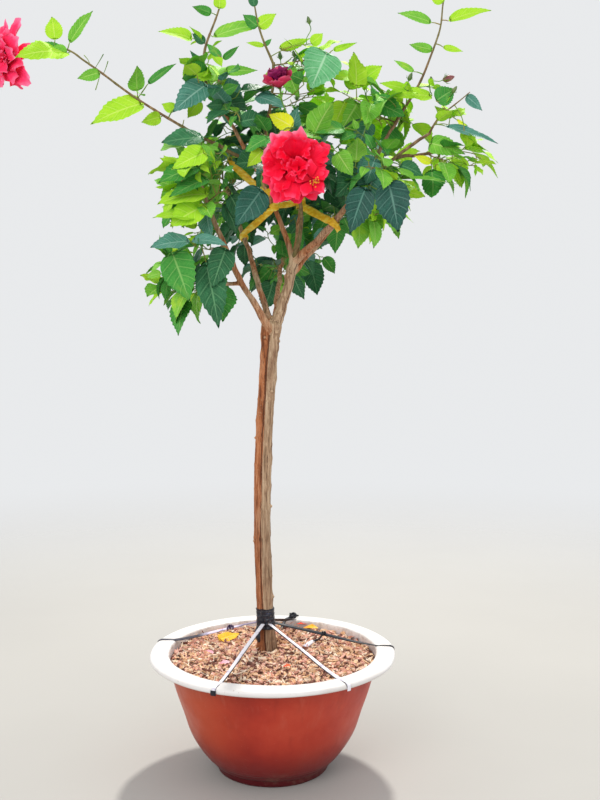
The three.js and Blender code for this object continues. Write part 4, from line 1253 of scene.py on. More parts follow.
def in_sky(p):
    q = seen_at(p)
    return np.any([((q[..., 0] - x) / a) ** 2 + ((q[..., 1] - y) / b) ** 2 < 1 for x, y, a, b in SKY], axis=0)


lures = lures[~in_sky(lures)]
lures = lures[np.linalg.norm(lures - BLOOM, axis=1) > 0.075]
lures = np.vstack([lures, [at(h[0], h[1], h[5] + 0.012) for h in OUTLINE]])
pos, parent, host_r, first = grow(HOSTS, lures, np.array(list(TARGETS.values())))
kids = [[] for _ in pos]
for k in range(first, len(pos)):
    kids[parent[k]].append(k)
# ease the corners
for _ in range(2):
    moved = pos.copy()
    for k in range(first, len(pos)):
        if kids[k]:
            moved[k] = pos[k] * 0.5 + pos[parent[k]] * 0.25 + np.mean(pos[kids[k]], axis=0) * 0.25
    pos = moved
TIP_R, POWER = 0.00092, 2.35
radius = np.zeros(len(pos))
for k in range(len(pos) - 1, -1, -1):
    below = [radius[c] for c in kids[k]]
    radius[k] = max(TIP_R, sum(b ** POWER for b in below) ** (1 / POWER)) if below else TIP_R
    if k >= first and below:
        radius[k] = min(radius[k] + 0.000012, 0.0042)
from_tip = np.zeros(len(pos))
for k in range(len(pos) - 1, first - 1, -1):
    if kids[k]:
        from_tip[k] = max(from_tip[c] + np.linalg.norm(pos[c] - pos[k]) for c in kids[k])
twig_old, twig_new = Bag(), Bag()
chains = []
for k in range(first, len(pos)):
    if parent[k] < first or len(kids[parent[k]]) > 1:
        line = [parent[k], k]
        while len(kids[line[-1]]) == 1:
            line.append(kids[line[-1]][0])
        chains.append(line)
for line in chains:
    pts = pos[line]
    rad = radius[line].copy()
    rad[0] = min(radius[line[1]] * 1.25, host_r[line[0]] * 0.95 if line[0] < first else radius[line[0]])
    pts = catmull(pts, 3)
    rad = np.interp(np.linspace(0, 1, len(pts)), np.linspace(0, 1, len(rad)), rad)
    young = rad.max() < 0.00145
    tube(twig_new if young else twig_old, pts, rad, 6)
print("twigs", len(pos) - first, "nodes", len(chains), "chains", "hosts", first)

# ---------------------------------------------------------------- leaves
ROWS, COLS, TILES = 20, 8, 4


def leaf_faces():
    c = COLS + 1
    base = [[0, 1 + j + 1, 1 + j, -1] for j in range(COLS)]
    quads = ring_faces(ROWS - 1, c, around=False) + 1
    tip = 1 + (ROWS - 1) * c
    last = tip - c
    top = [[tip, last + j, last + j + 1, -1] for j in range(COLS)]
    return np.vstack([base, quads[:, ::-1], top])


LEAF_FACES = leaf_faces()


def leaf_batch(rng, long, wide, origin, ahead, up, arch, fold, wave):
    """Toothed, quilted, folded blades: vertices (n, k, 3) and pattern places."""
    n = len(long)
    u = np.linspace(0, 1, ROWS + 1)[None, :, None] * np.ones((n, 1, 1))
    v = np.linspace(-1, 1, COLS + 1)[None, None, :] * np.ones((n, 1, 1))
    L, W = long[:, None, None], wide[:, None, None]
    low = 0.50 + 0.10 * rng.uniform(-1, 1, n)[:, None, None]
    high = 1.06
    peak = low / (low + high)
    shape = (u + 1e-9) ** low * (1 - u) ** high / (peak ** low * (1 - peak) ** high)
    half = W * 0.5 * shape * (1 - 0.30 * np.clip((u - 0.62) / 0.38, 0, 1) ** 1.2)
    tooth = np.where((np.arange(ROWS + 1) % 2) == 1, 1.0, -0.8)[None, :, None] * np.clip((u - 0.24) / 0.12, 0, 1) * np.clip((1 - u) / 0.10, 0, 1)
    rim = (np.abs(v) > 0.99) * 1.0
    x = v * half * (1 + 0.052 * tooth * rim)
    y = L * (u + 0.010 * tooth * rim + 0.012 * np.abs(v) * np.sin(math.pi * u))
    veins = np.abs(np.sin(math.pi * ((u - 0.20 * np.abs(v)) * 6.5)))
    quilt = 0.020 * W * (veins ** 0.7 - 0.5) * (1 - np.abs(v) ** 3) * np.clip(np.abs(v) * 3.5, 0, 1) * np.sin(math.pi * np.clip(u, 0.02, 0.98)) ** 0.5
    ph = rng.uniform(0, 6.28, (n, 1, 1))
    ripple = wave[:, None, None] * W * np.abs(v) ** 2 * np.sin(2 * math.pi * u * (1.6 + 0.7 * np.sin(ph)) + ph + v * 0.9) * np.sin(math.pi * u) ** 0.6
    lean = rng.normal(0, 0.10, n)[:, None, None] * W * v * np.sin(math.pi * u)
    z = fold[:, None, None] * np.abs(x) + quilt + ripple + lean - 0.006 * W * np.exp(-(v * 5) ** 2)
    a = arch[:, None, None] * u ** 1.25
    safe = np.where(np.abs(arch) < 1e-3, 1e-3, arch)[:, None, None]
    # the midrib bends down along an arc
    grid = np.linspace(0, 1, ROWS + 1)
    ang = safe * grid[None, :, None] ** 1.25
    dy = np.cos(ang) / ROWS
    dz = -np.sin(ang) / ROWS
    my = np.concatenate([np.zeros((n, 1, 1)), np.cumsum((dy[:, 1:] + dy[:, :-1]) / 2, axis=1)], 1) * L
    mz = np.concatenate([np.zeros((n, 1, 1)), np.cumsum((dz[:, 1:] + dz[:, :-1]) / 2, axis=1)], 1) * L
    shift = y - L * u
    by = my + z * np.sin(a) + shift * np.cos(a)
    bz = mz + z * np.cos(a) - shift * np.sin(a)
    turn = rng.normal(0, 0.30, n)[:, None, None] * u ** 1.3
    bend = rng.normal(0, 0.05, n)[:, None, None] * L * u ** 2
    bx = x * np.cos(turn) - 0 * z + bend
    bz = bz + x * np.sin(turn)
    local = np.stack([bx, by * np.ones_like(bx), bz], -1)
    body = local[:, 1:ROWS].reshape(n, -1, 3)
    local = np.concatenate([local[:, :1, COLS // 2], body, local[:, ROWS:, COLS // 2]], 1)
    Y = unit(ahead)
    Z = unit(up - (up * Y).sum(1, keepdims=True) * Y)
    X = np.cross(Y, Z)
    M = np.stack([X, Y, Z], 2)
    world = np.einsum("nij,nkj->nki", M, local) + origin[:, None]
    tile = rng.integers(0, TILES, (n, 2))
    g = np.stack([(v + 1) / 2 * np.ones_like(u), u * np.ones_like(v)], -1)
    g = np.concatenate([g[:, :1, COLS // 2], g[:, 1:ROWS].reshape(n, -1, 2), g[:, ROWS:, COLS // 2]], 1)
    uv = (tile[:, None] + 0.04 + 0.92 * g) / TILES
    return world, uv


LEAVES = {tone: [] for tone in ("deep", "dark", "blue", "pale", "mid", "fresh", "lime", "yellow")}
petioles = Bag()
leaf_rng = np.random.default_rng(88)
CROWN = np.array([0.04, 0.05, 1.26])


def stalk(a, b, out, r0, r1, bow=0.25):
    """A leaf stalk that leaves a twig sideways and bends over into the blade."""
    mid = a + out * np.linalg.norm(b - a) * 0.5 + (b - a) * 0.18
    mid2 = a * 0.25 + b * 0.75 + np.array([0, 0, np.linalg.norm(b - a) * bow * 0.35])
    pts = catmull([a, mid * 0.6 + (a + b) / 2 * 0.4, mid2, b], 3)
    tube(petioles, pts, np.linspace(r0, r1, len(pts)), 5)


def put_leaf(tone, base, ahead, up, long, wide, arch, fold, wave):
    LEAVES[tone].append((base, unit(ahead), unit(up), long, wide, arch, fold, wave))


def sunlit(p):
    """How bright the leaves are there: partly young growth, partly painted light, lighter on the outside of the crown
    and in sunlit patches, darker inside it.
    """
    v = 0.455
    for x, z, r, h in ((-0.19, 1.205, 0.085, 0.34), (0.37, 1.33, 0.12, 0.34), (0.22, 1.46, 0.11, 0.30), (0.12, 1.44, 0.06, 0.22), (-0.14, 1.54, 0.10, 0.20), (0.30, 1.18, 0.08, 0.26), (-0.20, 1.42, 0.07, 0.16),
                       (-0.08, 1.375, 0.08, -0.24), (0.13, 1.24, 0.07, -0.30), (-0.12, 1.08, 0.09, -0.26), (-0.04, 1.20, 0.08, -0.30), (0.20, 1.29, 0.05, -0.08), (0.02, 1.06, 0.12, -0.22)):
        v += h * math.exp(-((p[0] - x) ** 2 + (p[2] - z) ** 2) / r ** 2)
    v += 0.20 * float(noise3(np.array([p * 9.0]), 71)[0])
    out = np.linalg.norm((p - CROWN) / np.array([0.40, 0.27, 0.30]))
    return v + 0.18 * (out - 0.75)


def tone_for(value):
    for limit, tone in ((0.20, "dark"), (0.27, "blue"), (0.43, "mid"), (0.60, "fresh"), (1.12, "lime")):
        if value < limit:
            return tone
    return "yellow"


# the large leaves and the yellow one at the bloom stay uncovered: middle, reach in the frame and depth
BARE = [((h[0] + h[2]) / 2, (h[1] + h[3]) / 2, 0.40 * math.hypot(h[0] - h[2], h[1] - h[3]), h[5]) for h in OUTLINE if h[4] >= 24 or h[7] == "yellow"]
BARE += [(236, 169, 3, 0.10), (246, 175, 3, 0.09), (263, 186, 2, 0.08), (249, 230, 7, 0.11), (261, 219, 9, 0.10), (275, 209, 9, 0.09), (303, 206, 6, 0.12), (316, 213, 9, 0.07), (330, 221, 10, 0.03)]


def covers(p):
    """Whether a leaf there would hang in front of one of those."""
    q = seen_at(p)
    return any(math.hypot(q[0] - x, q[1] - y) < r + 7 and p[1] < depth + 0.035 for x, y, r, depth in BARE)


taken = np.zeros(len(pos), bool)
tips = [k for k in range(first, len(pos)) if not kids[k]]
order = sorted(tips, key=lambda k: -pos[k][2])
LOCAL = []  # middles of blades already put, to keep them from crowding
leaf_count = 0
for number, tip in enumerate(order):
    path = [tip]
    while parent[path[-1]] >= first and parent[path[-1]] >= 0:
        path.append(parent[path[-1]])
    path.append(parent[path[-1]])
    pts = pos[path]
    s = np.concatenate([[0], np.cumsum(np.linalg.norm(np.diff(pts, axis=0), axis=1))])
    spray_tone = leaf_rng.normal(0, 0.13)
    spin = leaf_rng.uniform(0, 6.28)
    gaps = [0.001, 0.006, 0.010, 0.014, 0.017, 0.019, 0.021, 0.023, 0.025, 0.027, 0.029, 0.031, 0.033]
    where, k = 0.0, 0
    while k < len(gaps):
        where += gaps[k] * leaf_rng.uniform(0.8, 1.25)
        if where > s[-1] or where > 0.235:
            break
        j = min(int(np.searchsorted(s, where)), len(s) - 1)
        node = path[j]
        if taken[node] and k > 2:
            break
        if k > 2:
            taken[node] = True
        f = 0 if j == 0 else (where - s[j - 1]) / max(s[j] - s[j - 1], 1e-6)
        p = pts[max(j - 1, 0)] * (1 - f) + pts[j] * f
        d = unit(pts[max(j - 1, 0)] - pts[j]) if j else unit(pts[0] - pts[1])
        a = unit(np.cross(d, [0.13, 0.4, 1.0]))
        b = np.cross(d, a)
        spin += 2.513 + leaf_rng.normal(0, 0.25)
        r = a * math.cos(spin) + b * math.sin(spin)
        age = min(k / 5.0, 1.0)
        outward = unit(p - CROWN)
        if k > 2 and np.dot(r, outward) < -0.75 and leaf_rng.uniform() < 0.55:
            k += 1
            continue
        long = (0.033 + 0.042 * age ** 0.8) * leaf_rng.uniform(0.80, 1.20)
        if k < 2:
            long *= leaf_rng.uniform(0.55, 0.95)
        stem = (0.004 + 0.022 * age) * leaf_rng.uniform(0.8, 1.3)
        out = unit(r * 0.85 + d * 0.45 + np.array([0, 0, 0.25]) + outward * 0.15)
        droop = (0.10 + 0.55 * age) * leaf_rng.uniform(0.3, 1.5)
        ahead = unit(r * 0.72 + d * (0.75 - 0.35 * age) + outward * 0.30 + np.array([0, 0, -droop]))
        up = np.array([0, 0, 1.0]) + outward * np.array([0.55, 0.75, 0.2]) + leaf_rng.normal(0, 0.30, 3)
        base = p + out * stem
        mid = base + ahead * long * 0.5
        clear = np.linalg.norm(mid - BLOOM) > 0.088 and not in_sky(mid) and not covers(mid)
        if clear and LOCAL:
            near_by = np.linalg.norm(np.array(LOCAL[-400:]) - mid, axis=1).min()
            clear = near_by > 0.0098
        q = seen_at(mid)
        for x, y, a_x, a_y, share in THIN:
            if ((q[0] - x) / a_x) ** 2 + ((q[1] - y) / a_y) ** 2 < 1 and leaf_rng.uniform() < share:
                clear = False
        # the fork stays open, and no leaf hangs in front of the bloom
        if math.hypot(q[0] - 263, q[1] - 248) < 9:
            clear = False
        if mid[1] < -0.10 and np.hypot(mid[0] - 0.051, mid[2] - 1.242) < 0.085:
            clear = False
        if mid[2] < 1.135 and -0.075 < mid[0] < 0.12 and mid[1] < 0.11:
            clear = False
        if clear:
            # the tone mixes painted light from sunlit() with the lighter green of young leaves
            value = sunlit(mid) + spray_tone + 0.30 * (0.55 - age) + leaf_rng.normal(0, 0.06)
            tone = tone_for(value)
            put_leaf(tone, base, ahead, up, long, long * leaf_rng.uniform(0.60, 0.74), leaf_rng.uniform(0.15, 0.95) * (0.4 + 0.6 * age), leaf_rng.uniform(0.06, 0.34), leaf_rng.uniform(0.02, 0.07))
            stalk(p, base, out, 0.0011 + 0.0003 * age, 0.0008)
            LOCAL.append(mid)
            leaf_count += 1
        k += 1

# the outline's own leaves, each on the nearest twig
all_nodes = [pos[k] for k in range(len(pos))]
for pts, rad in SHOOTS_AT.values():
    all_nodes += list(pts)
all_nodes = np.array(all_nodes)
for bx, by, tx, ty, wide_px, depth, near_tip, tone in OUTLINE:
    hint = at(bx, by, depth)
    d = np.linalg.norm(all_nodes - hint, axis=1)
    k = int(d.argmin())
    root = all_nodes[k]
    y = depth + np.clip(root[1] - depth, -0.02, 0.02)
    base = at(bx, by, y)
    if np.linalg.norm(base - root) < 0.002:
        base = base + np.array([0, -0.002, 0])
    tip = at(tx, ty, y - near_tip)
    way = tip - base
    chord = float(np.linalg.norm(way))
    seen = wide_px / FOCAL * float(np.linalg.norm(base - EYE))
    real = max(seen, min((0.24 if wide_px < 7.5 else 0.33 if wide_px < 10.5 else 0.44 if wide_px < 11.5 else 0.58) * chord, 0.058))
    roll = math.acos(min(1.0, seen / real))
    to_eye = unit(EYE - base)
    Y = unit(way)
    n0 = unit(to_eye - np.dot(to_eye, Y) * Y)
    side = np.cross(Y, n0)
    opts = [n0 * math.cos(roll) + side * math.sin(roll) * s for s in (1, -1)]
    up = max(opts, key=lambda n: n[2])
    if up[2] < -0.2:
        up = -up
    arch = leaf_rng.uniform(0.2, 0.6)
    # start a little above the chord, so that the tip lands where it should
    Y0 = unit(Y * math.cos(arch * 0.42) + unit(up - np.dot(up, Y) * Y) * math.sin(arch * 0.42))
    put_leaf(tone, base, Y0, up, chord * 1.04, real, arch, leaf_rng.uniform(0.08, 0.3), leaf_rng.uniform(0.02, 0.06))
    gap = np.linalg.norm(base - root)
    if gap > 0.0015:
        stalk(root, base, unit(unit(base - root) + Y * 0.25 + np.array([0, 0, 0.20])), 0.0011 + 0.0004 * min(gap / 0.03, 1), 0.0009, 0.12)


def leaf_shade(name, deep, body, light, vein, rough=0.40, tint=None):
    """Leaf colour laid out along the blade: midrib, side veins, mottling, a different cast on each tile."""
    s = Shade("leaf_" + name, rough)
    s.b.inputs["Specular IOR Level"].default_value = 0.22 if name in ("deep", "dark", "blue") else 0.09
    uv = s.node("VectorMath", {0: s.uv(), 1: (TILES, TILES, 1)}, operation="MULTIPLY").outputs[0]
    cell = s.node("VectorMath", {0: uv}, operation="FLOOR").outputs[0]
    inside = s.node("VectorMath", {0: uv}, operation="FRACTION").outputs[0]
    chance = s.node("TexWhiteNoise", {"Vector": cell}, noise_dimensions="3D").outputs["Value"]
    x, y, _ = s.split(inside)
    across = s.math("ABSOLUTE", s.math("MULTIPLY_ADD", x, 2.0, -1.0))
    # side veins sweep forward from the midrib
    run = s.math("MULTIPLY", s.math("SUBTRACT", y, s.math("MULTIPLY", across, 0.20)), 6.5)
    saw = s.math("ABSOLUTE", s.math("SUBTRACT", s.math("FRACT", run), 0.5))
    side = s.math("MULTIPLY", s.step(saw, 0.40, 0.49), s.step(across, 1.0, 0.7))
    rib = s.step(across, 0.085, 0.02)
    net = s.cells(uv, 34, "DISTANCE_TO_EDGE")
    net = s.math("MULTIPLY", s.step(net, 0.09, 0.02), 0.35)
    veins = s.math("MAXIMUM", s.math("MAXIMUM", s.math("MULTIPLY", side, 0.7), rib), net)
    cloud = s.noise(uv, 3.2, 4, 0.6)
    fine = s.noise(uv, 22, 3, 0.6)
    base = s.ramp(cloud, [(0.30, deep), (0.50, body), (0.72, light)])
    cast = s.ramp(chance, [(0.0, deep), (0.35, body), (0.65, body), (1.0, light)])
    base = s.mix(0.45, base, cast)
    hollow = s.math("MULTIPLY", s.step(saw, 0.30, 0.10), 0.22)
    base = s.mix(hollow, base, light)
    base = s.mix(s.math("MULTIPLY", veins, 0.62), base, vein)
    edge = s.math("MULTIPLY", s.step(across, 0.90, 1.0), 0.35)
    base = s.mix(edge, base, vein)
    # odd brown flecks and a bitten yellow patch on a few tiles
    fleck = s.math("MULTIPLY", s.step(fine, 0.70, 0.78), s.step(chance, 0.6, 0.9))
    base = s.mix(s.math("MULTIPLY", fleck, 0.6), base, "7A5A2A")
    if tint:
        patch = s.math("MULTIPLY", s.step(s.noise(uv, 1.6, 3), 0.5, 0.68), s.step(chance, 0.45, 0.8))
        base = s.mix(s.math("MULTIPLY", patch, 0.6), base, tint)
    s.colour(base)
    h = s.math("ADD", s.math("MULTIPLY", veins, -0.8), s.math("MULTIPLY", fine, 0.3))
    return s.bump(h, 0.45, 0.0012).m


# the light greens are partly young leaves and partly painted glow of backlit leaves; the pale grey-blue of blue paints
# a sky sheen on dark leaves
LEAF_TONES = {
    "deep": (("0E2E2A", "1A4A40", "2C6C58", "6C9E8C"), 0.38, None),
    "dark": (("123F28", "1F5C36", "388252", "74AC78"), 0.43, None),
    "blue": (("1E5848", "38806A", "6CA694", "A4CCBC"), 0.42, None),
    "pale": (("3A8A52", "5CB070", "90D29C", "C4E8C4"), 0.46, "A4D070"),
    "mid": (("22702C", "388E38", "5CB04C", "9CCC72"), 0.50, "8CB440"),
    "fresh": (("4E9C2C", "6CBC38", "94D44A", "C6E682"), 0.56, "B2D83A"),
    "lime": (("88CA1E", "A8E22A", "C0EC3E", "DAF078"), 0.62, "CCE83A"),
    "yellow": (("E4EE08", "F4FF10", "F8FF3C", "FCFFA0"), 0.5, "FFF018"),
}
LEAF_SLOT = {"deep": "leaf_green", "dark": "leaf_green", "blue": "leaf_green", "mid": "leaf_green", "pale": "leaf_young", "fresh": "leaf_young", "lime": "leaf_young", "yellow": "leaf_young"}
shape_rng = np.random.default_rng(5)
for tone, rows in LEAVES.items():
    if not rows:
        continue
    cols = [np.array([r[k] for r in rows]) for k in range(8)]
    v, uv = leaf_batch(shape_rng, cols[3], cols[4], cols[0], cols[1], cols[2], cols[5], cols[6], cols[7])
    bag = Bag()
    bag.many(v, LEAF_FACES, uv)
    shades, rough, tint = LEAF_TONES[tone]
    bag.build("leaves_" + tone, [leaf_shade(tone, *shades, rough=rough, tint=tint)], LEAF_SLOT[tone])
print("leaves", {k: len(v) for k, v in LEAVES.items()}, "rule", leaf_count)


def stalk_shade():
    s = Shade("stalk", 0.5)
    p = s.place()
    base = s.ramp(s.noise(p, 16, 3), [(0.3, "4E7A2C"), (0.5, "7E9A3A"), (0.62, "9C8A46"), (0.75, "A06A4A")])
    return s.colour(base).bump(s.noise(p, 400, 2), 0.2, 0.0004).m


green_stalk = stalk_shade()
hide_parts(*[m for m in MASSES], *SPRAYS)

# ---------------------------------------------------------------- blooms
PETAL_ROWS, PETAL_COLS = 20, 18


def petal(bag, rng, base, way, face, long, wide, cup=0.12, ruffle=0.10, recurve=0.5, point=0.0, twist=0.0, m=0, rows=PETAL_ROWS, cols=PETAL_COLS, claw=0.09):
    """A ruffled fan. way runs from its claw to its edge, face looks to the middle of the bloom."""
    s = np.linspace(0, 1, rows + 1)[:, None] * np.ones((1, cols + 1))
    t = np.linspace(-1, 1, cols + 1)[None] * np.ones((rows + 1, 1))
    ph = rng.uniform(0, 6.28, 5)
    half = wide / 2 * (claw + (1 - claw) * np.sin(np.clip(s * 1.03, 0, 1) * math.pi / 2) ** 1.3)
    x = half * t * (1 - 0.20 * s ** 4 * t ** 2)
    edge = 0.042 * np.sin(1.9 * math.pi * t + ph[0]) + 0.016 * np.sin(4.3 * math.pi * t + ph[1]) + 0.006 * np.sin(9.1 * math.pi * t + ph[2])
    y = long * (s - 0.28 * s ** 3 * t ** 2 + edge * s ** 5 + point * s ** 3 * (np.exp(-(t * 2.8) ** 2) - 0.35))
    f = rng.uniform(1.0, 1.9)
    z = cup * wide * t ** 2 * s ** 0.8 + ruffle * wide * (s ** 2.2 * np.sin(math.pi * f * t + ph[2]) * (0.55 + 0.45 * np.abs(t)) + 0.42 * s ** 5 * np.sin(math.pi * f * 2.4 * t + ph[3]))
    q = np.stack([x / wide * 3 + ph[4], y / long * 2.4, 0 * x + ph[0]], -1)
    z = z + 0.075 * wide * s * fbm(q * 0.8, 7, 3)
    z = z + 0.0028 * wide * s ** 0.7 * np.sin(t * math.pi * 9 + ph[1])
    bend = recurve * s ** 1.5
    mid_y = np.vstack([np.zeros((1, cols + 1)), np.cumsum((np.cos(bend[1:]) + np.cos(bend[:-1])) / 2, 0)]) / rows * long
    mid_z = -np.vstack([np.zeros((1, cols + 1)), np.cumsum((np.sin(bend[1:]) + np.sin(bend[:-1])) / 2, 0)]) / rows * long
    shift = y - long * s
    by = mid_y + z * np.sin(bend) + shift * np.cos(bend)
    bz = mid_z + z * np.cos(bend) - shift * np.sin(bend)
    turn = twist * s ** 1.2
    bx, bz = x * np.cos(turn) - bz * np.sin(turn), x * np.sin(turn) + bz * np.cos(turn)
    Y = unit(way)
    Z = unit(face - np.dot(face, Y) * Y)
    X = np.cross(Y, Z)
    v = base + bx[..., None] * X + by[..., None] * Y + bz[..., None] * Z
    tile = rng.integers(0, TILES, 2)
    uv = (tile + 0.04 + 0.92 * np.stack([(t + 1) / 2, s], -1)) / TILES
    bag.add(v.reshape(-1, 3), ring_faces(rows + 1, cols + 1, around=False), uv.reshape(-1, 2), m)


def facing(axis):
    a = unit(np.cross([0, 0, 1.0], axis))
    return a, np.cross(axis, a)


def whorl(bag, rng, centre, axis, rows, m=0, scale=1.0):
    """rows: angle, length, tilt from the axis (degrees, mm), width share, recurve, cup, ruffle, point, lift (mm)."""
    a, b = facing(axis)
    for ang, long, tilt, share, recurve, cup, ruffle, point, lift in rows:
        ang, tilt = math.radians(ang + rng.normal(0, 4)), math.radians(tilt + rng.normal(0, 4))
        out = math.cos(ang) * a + math.sin(ang) * b
        long = long * MM * scale * rng.uniform(0.95, 1.05)
        petal(bag, rng, centre + axis * lift * MM * scale + out * 0.003, math.sin(tilt) * out + math.cos(tilt) * axis, -math.cos(tilt) * out + math.sin(tilt) * axis,
              long, long * share, cup, ruffle, recurve, point, rng.normal(0, 0.22), m)


def heart(bag, rng, centre, axis, count, long, tilt, m=0, share=0.95):
    """A crumpled inner tuft of petals."""
    a, b = facing(axis)
    start = rng.uniform(0, 6.28)
    for k in range(count):
        ang = start + k * 2.39996
        out = math.cos(ang) * a + math.sin(ang) * b
        lean = math.radians(tilt) * (0.35 + 0.65 * (k + 0.5) / count) * rng.uniform(0.85, 1.2)
        size = long * MM * (0.72 + 0.32 * (k + 0.5) / count) * rng.uniform(0.88, 1.1)
        petal(bag, rng, centre + out * 0.002, math.sin(lean) * out + math.cos(lean) * axis, -math.cos(lean) * out + math.sin(lean) * axis,
              size, size * share * rng.uniform(0.8, 1.15), rng.uniform(0.05, 0.26), rng.uniform(0.12, 0.20), rng.uniform(0.1, 1.0), rng.choice([0.0, 0.0, 0.12]), rng.normal(0, 0.45), m)


greens = Bag()  # calyxes, bracts, flower stalks and closed buds
stamens = Bag()


def calyx(rng, base, axis, size):
    """A five-toothed cup with narrow bracts under it. axis looks out of the bloom."""
    a, b = facing(axis)
    for k in range(5):
        ang = k * 2 * math.pi / 5 + 0.3
        out = math.cos(ang) * a + math.sin(ang) * b
        petal(greens, rng, base, unit(out * 0.62 + axis * 0.78), unit(-out * 0.8 + axis * 0.5), size, size * 0.62, 0.10, 0.01, 0.25, 0.55, 0, 0, 10, 6, claw=0.42)
    for k in range(7):
        ang = k * 2 * math.pi / 7
        out = math.cos(ang) * a + math.sin(ang) * b
        petal(greens, rng, base - axis * 0.0012, unit(out * 0.9 + axis * 0.35), unit(axis - 0.4 * out), size * 0.62, size * 0.10, 0.05, 0.0, -0.5, 0.5, 0, 0, 7, 3, claw=0.5)


def flower_stalk(start, end, leave, arrive, r=0.0013):
    """From a twig to the foot of a bloom. leave and arrive are directions of travel."""
    d = np.linalg.norm(end - start)
    pts = catmull([start, start + unit(leave) * d * 0.3, end - unit(arrive) * d * 0.3, end], 6)
    rad = r * (1 + 0.35 * np.exp(-np.arange(len(pts)) / 2.0) + 0.7 * np.exp(-(len(pts) - 1 - np.arange(len(pts))) / 1.6))
    k = int(len(pts) * 0.72)
    rad[k] *= 1.25
    tube(greens, pts, rad, 8)


def closed_bud(rng, base, way, long, m=1):
    """A furled bud in its calyx."""
    way = unit(way)
    n = 12
    s = np.linspace(0, 1, n)
    a, b = facing(way) if abs(way[2]) < 0.98 else (np.array([1.0, 0, 0]), np.array([0, 1.0, 0]))
    bendy = (a * rng.normal(0, 0.06) + b * rng.normal(0, 0.06)) * long
    pts = base + way * (s * long)[:, None] + bendy * (s ** 2)[:, None]
    body = long * 0.26 * np.interp(s, [0, 0.12, 0.35, 0.6, 0.82, 0.95, 1], [0.35, 0.78, 1.0, 0.86, 0.5, 0.24, 0.06])
    tube(greens, pts, body, 15, m, shape=lambda row, angle: 1 + 0.10 * np.cos(5 * angle + row * 0.22))
    for k in range(7):
        ang = k * 2 * math.pi / 7
        out = math.cos(ang) * a + math.sin(ang) * b
        petal(greens, rng, base + out * long * 0.08, unit(out * 0.8 + way * 0.6), unit(way - 0.5 * out), long * 0.62, long * 0.09, 0.05, 0.0, -0.6, 0.5, 0, 0, 7, 3, claw=0.5)


TARGET_NAMES = list(TARGETS)


def twig_near(p):
    k = int(np.linalg.norm(all_nodes - p, axis=1).argmin())
    return all_nodes[k]


bloom_rng = np.random.default_rng(41)
main = Bag()
FRONT = unit(np.array([0.02, -1.0, 0.10]))
HEART = BLOOM - FRONT * 0.016
RIGHT_, UP_ = facing(FRONT)


def blade(dx, dy, ahead, ang, long, share, tilt, recurve=0.4, cup=0.06, ruffle=0.10, point=0.0, twist=0.0, m=0, claw=0.09):
    """One petal: its foot as seen from the front (mm), the way it points, and its lean away from the axis."""
    a, t = math.radians(ang), math.radians(tilt)
    out = math.cos(a) * RIGHT_ + math.sin(a) * UP_
    foot = HEART + (RIGHT_ * dx + UP_ * dy + FRONT * ahead) * MM
    petal(main, bloom_rng, foot, math.sin(t) * out + math.cos(t) * FRONT, -math.cos(t) * out + math.sin(t) * FRONT, long * MM, long * share * MM, cup, ruffle, recurve, point, twist, m, claw=claw)


# broad outer petals that make the outline; the ones at the upper left get paler pink edges, painted light shining
# through them
for row in ((0, 0, 1, 88, 74, 0.74, 84, 0.25, 0.06, 0.12, -0.02, 0.1, 1), (0, 0, 3, 120, 77, 0.76, 80, 0.30, 0.05, 0.12, 0.0, -0.15, 1), (0, 0, 0, 155, 70, 0.90, 86, 0.30, 0.05, 0.12, 0.0, 0.2, 1),
            (0, 0, 2, 196, 66, 0.90, 88, 0.40, 0.05, 0.12, 0.0, 0.15), (0, 0, 1, 236, 74, 0.80, 84, 0.40, 0.05, 0.10, 0.0, -0.2), (0, 0, 3, 265, 68, 0.86, 80, 0.35, 0.05, 0.07, -0.04, 0.08),
            (0, 0, 1, 309, 69, 0.86, 84, 0.40, 0.05, 0.10, 0.0, 0.0), (0, 0, 3, 347, 60, 0.95, 86, 0.40, 0.05, 0.12, 0.0, 0.1), (0, 0, 1, 34, 68, 0.90, 82, 0.15, 0.03, 0.06, 0.16, -0.1)):
    blade(*row)
# a looser second layer
for row in ((2, 6, 7, 70, 55, 0.95, 60, 0.6, 0.10, 0.14, 0.0, 0.3), (-6, 4, 8, 128, 58, 0.90, 58, 0.7, 0.10, 0.15, 0.0, -0.3), (-10, 0, 7, 176, 52, 1.0, 62, 0.6, 0.10, 0.14, 0.1, 0.25),
            (-6, -8, 8, 222, 55, 0.90, 60, 0.5, 0.10, 0.13, 0.0, -0.2), (0, -10, 7, 260, 56, 0.85, 58, 0.7, 0.10, 0.12, 0.0, 0.2), (6, -8, 6, 300, 50, 0.95, 68, 0.5, 0.08, 0.10, 0.0, 0.0),
            (10, 0, 8, 352, 48, 1.0, 62, 0.5, 0.10, 0.12, 0.0, 0.2), (8, 6, 7, 24, 56, 0.90, 60, 0.5, 0.08, 0.12, 0.08, -0.3)):
    blade(*row)
# a hooded cup at the upper middle, its lip folded down
blade(-2, 14, 10, 94, 54, 1.25, 42, -0.35, 0.16, 0.08, 0.0, 0.0)
for k, ang in enumerate((22, 74, 128, 184)):
    blade(-2 + 7 * math.cos(ang / 57.3), 20 + 6 * math.sin(ang / 57.3), 15, ang, 31 + 3 * (k % 2), 1.05, 32 + 6 * (k % 2), 0.8, 0.12, 0.20, 0.0, 0.35 * (-1) ** k)
for ang, tilt in ((238, 52), (300, 58)):
    blade(-2, 16, 15, ang, 34, 1.20, tilt, 1.0, 0.10, 0.22, 0.0, 0.2)
# an open five-petalled flower at the lower right, with the anthers
for k in range(5):
    ang = 24 + 72 * k
    blade(29 + 2 * math.cos(ang / 57.3), -26 + 2 * math.sin(ang / 57.3), 19, ang, (31, 33, 36, 33, 30)[k], 0.84, 66, 0.30, 0.07, 0.07, 0.16, 0.12 * (-1) ** k)
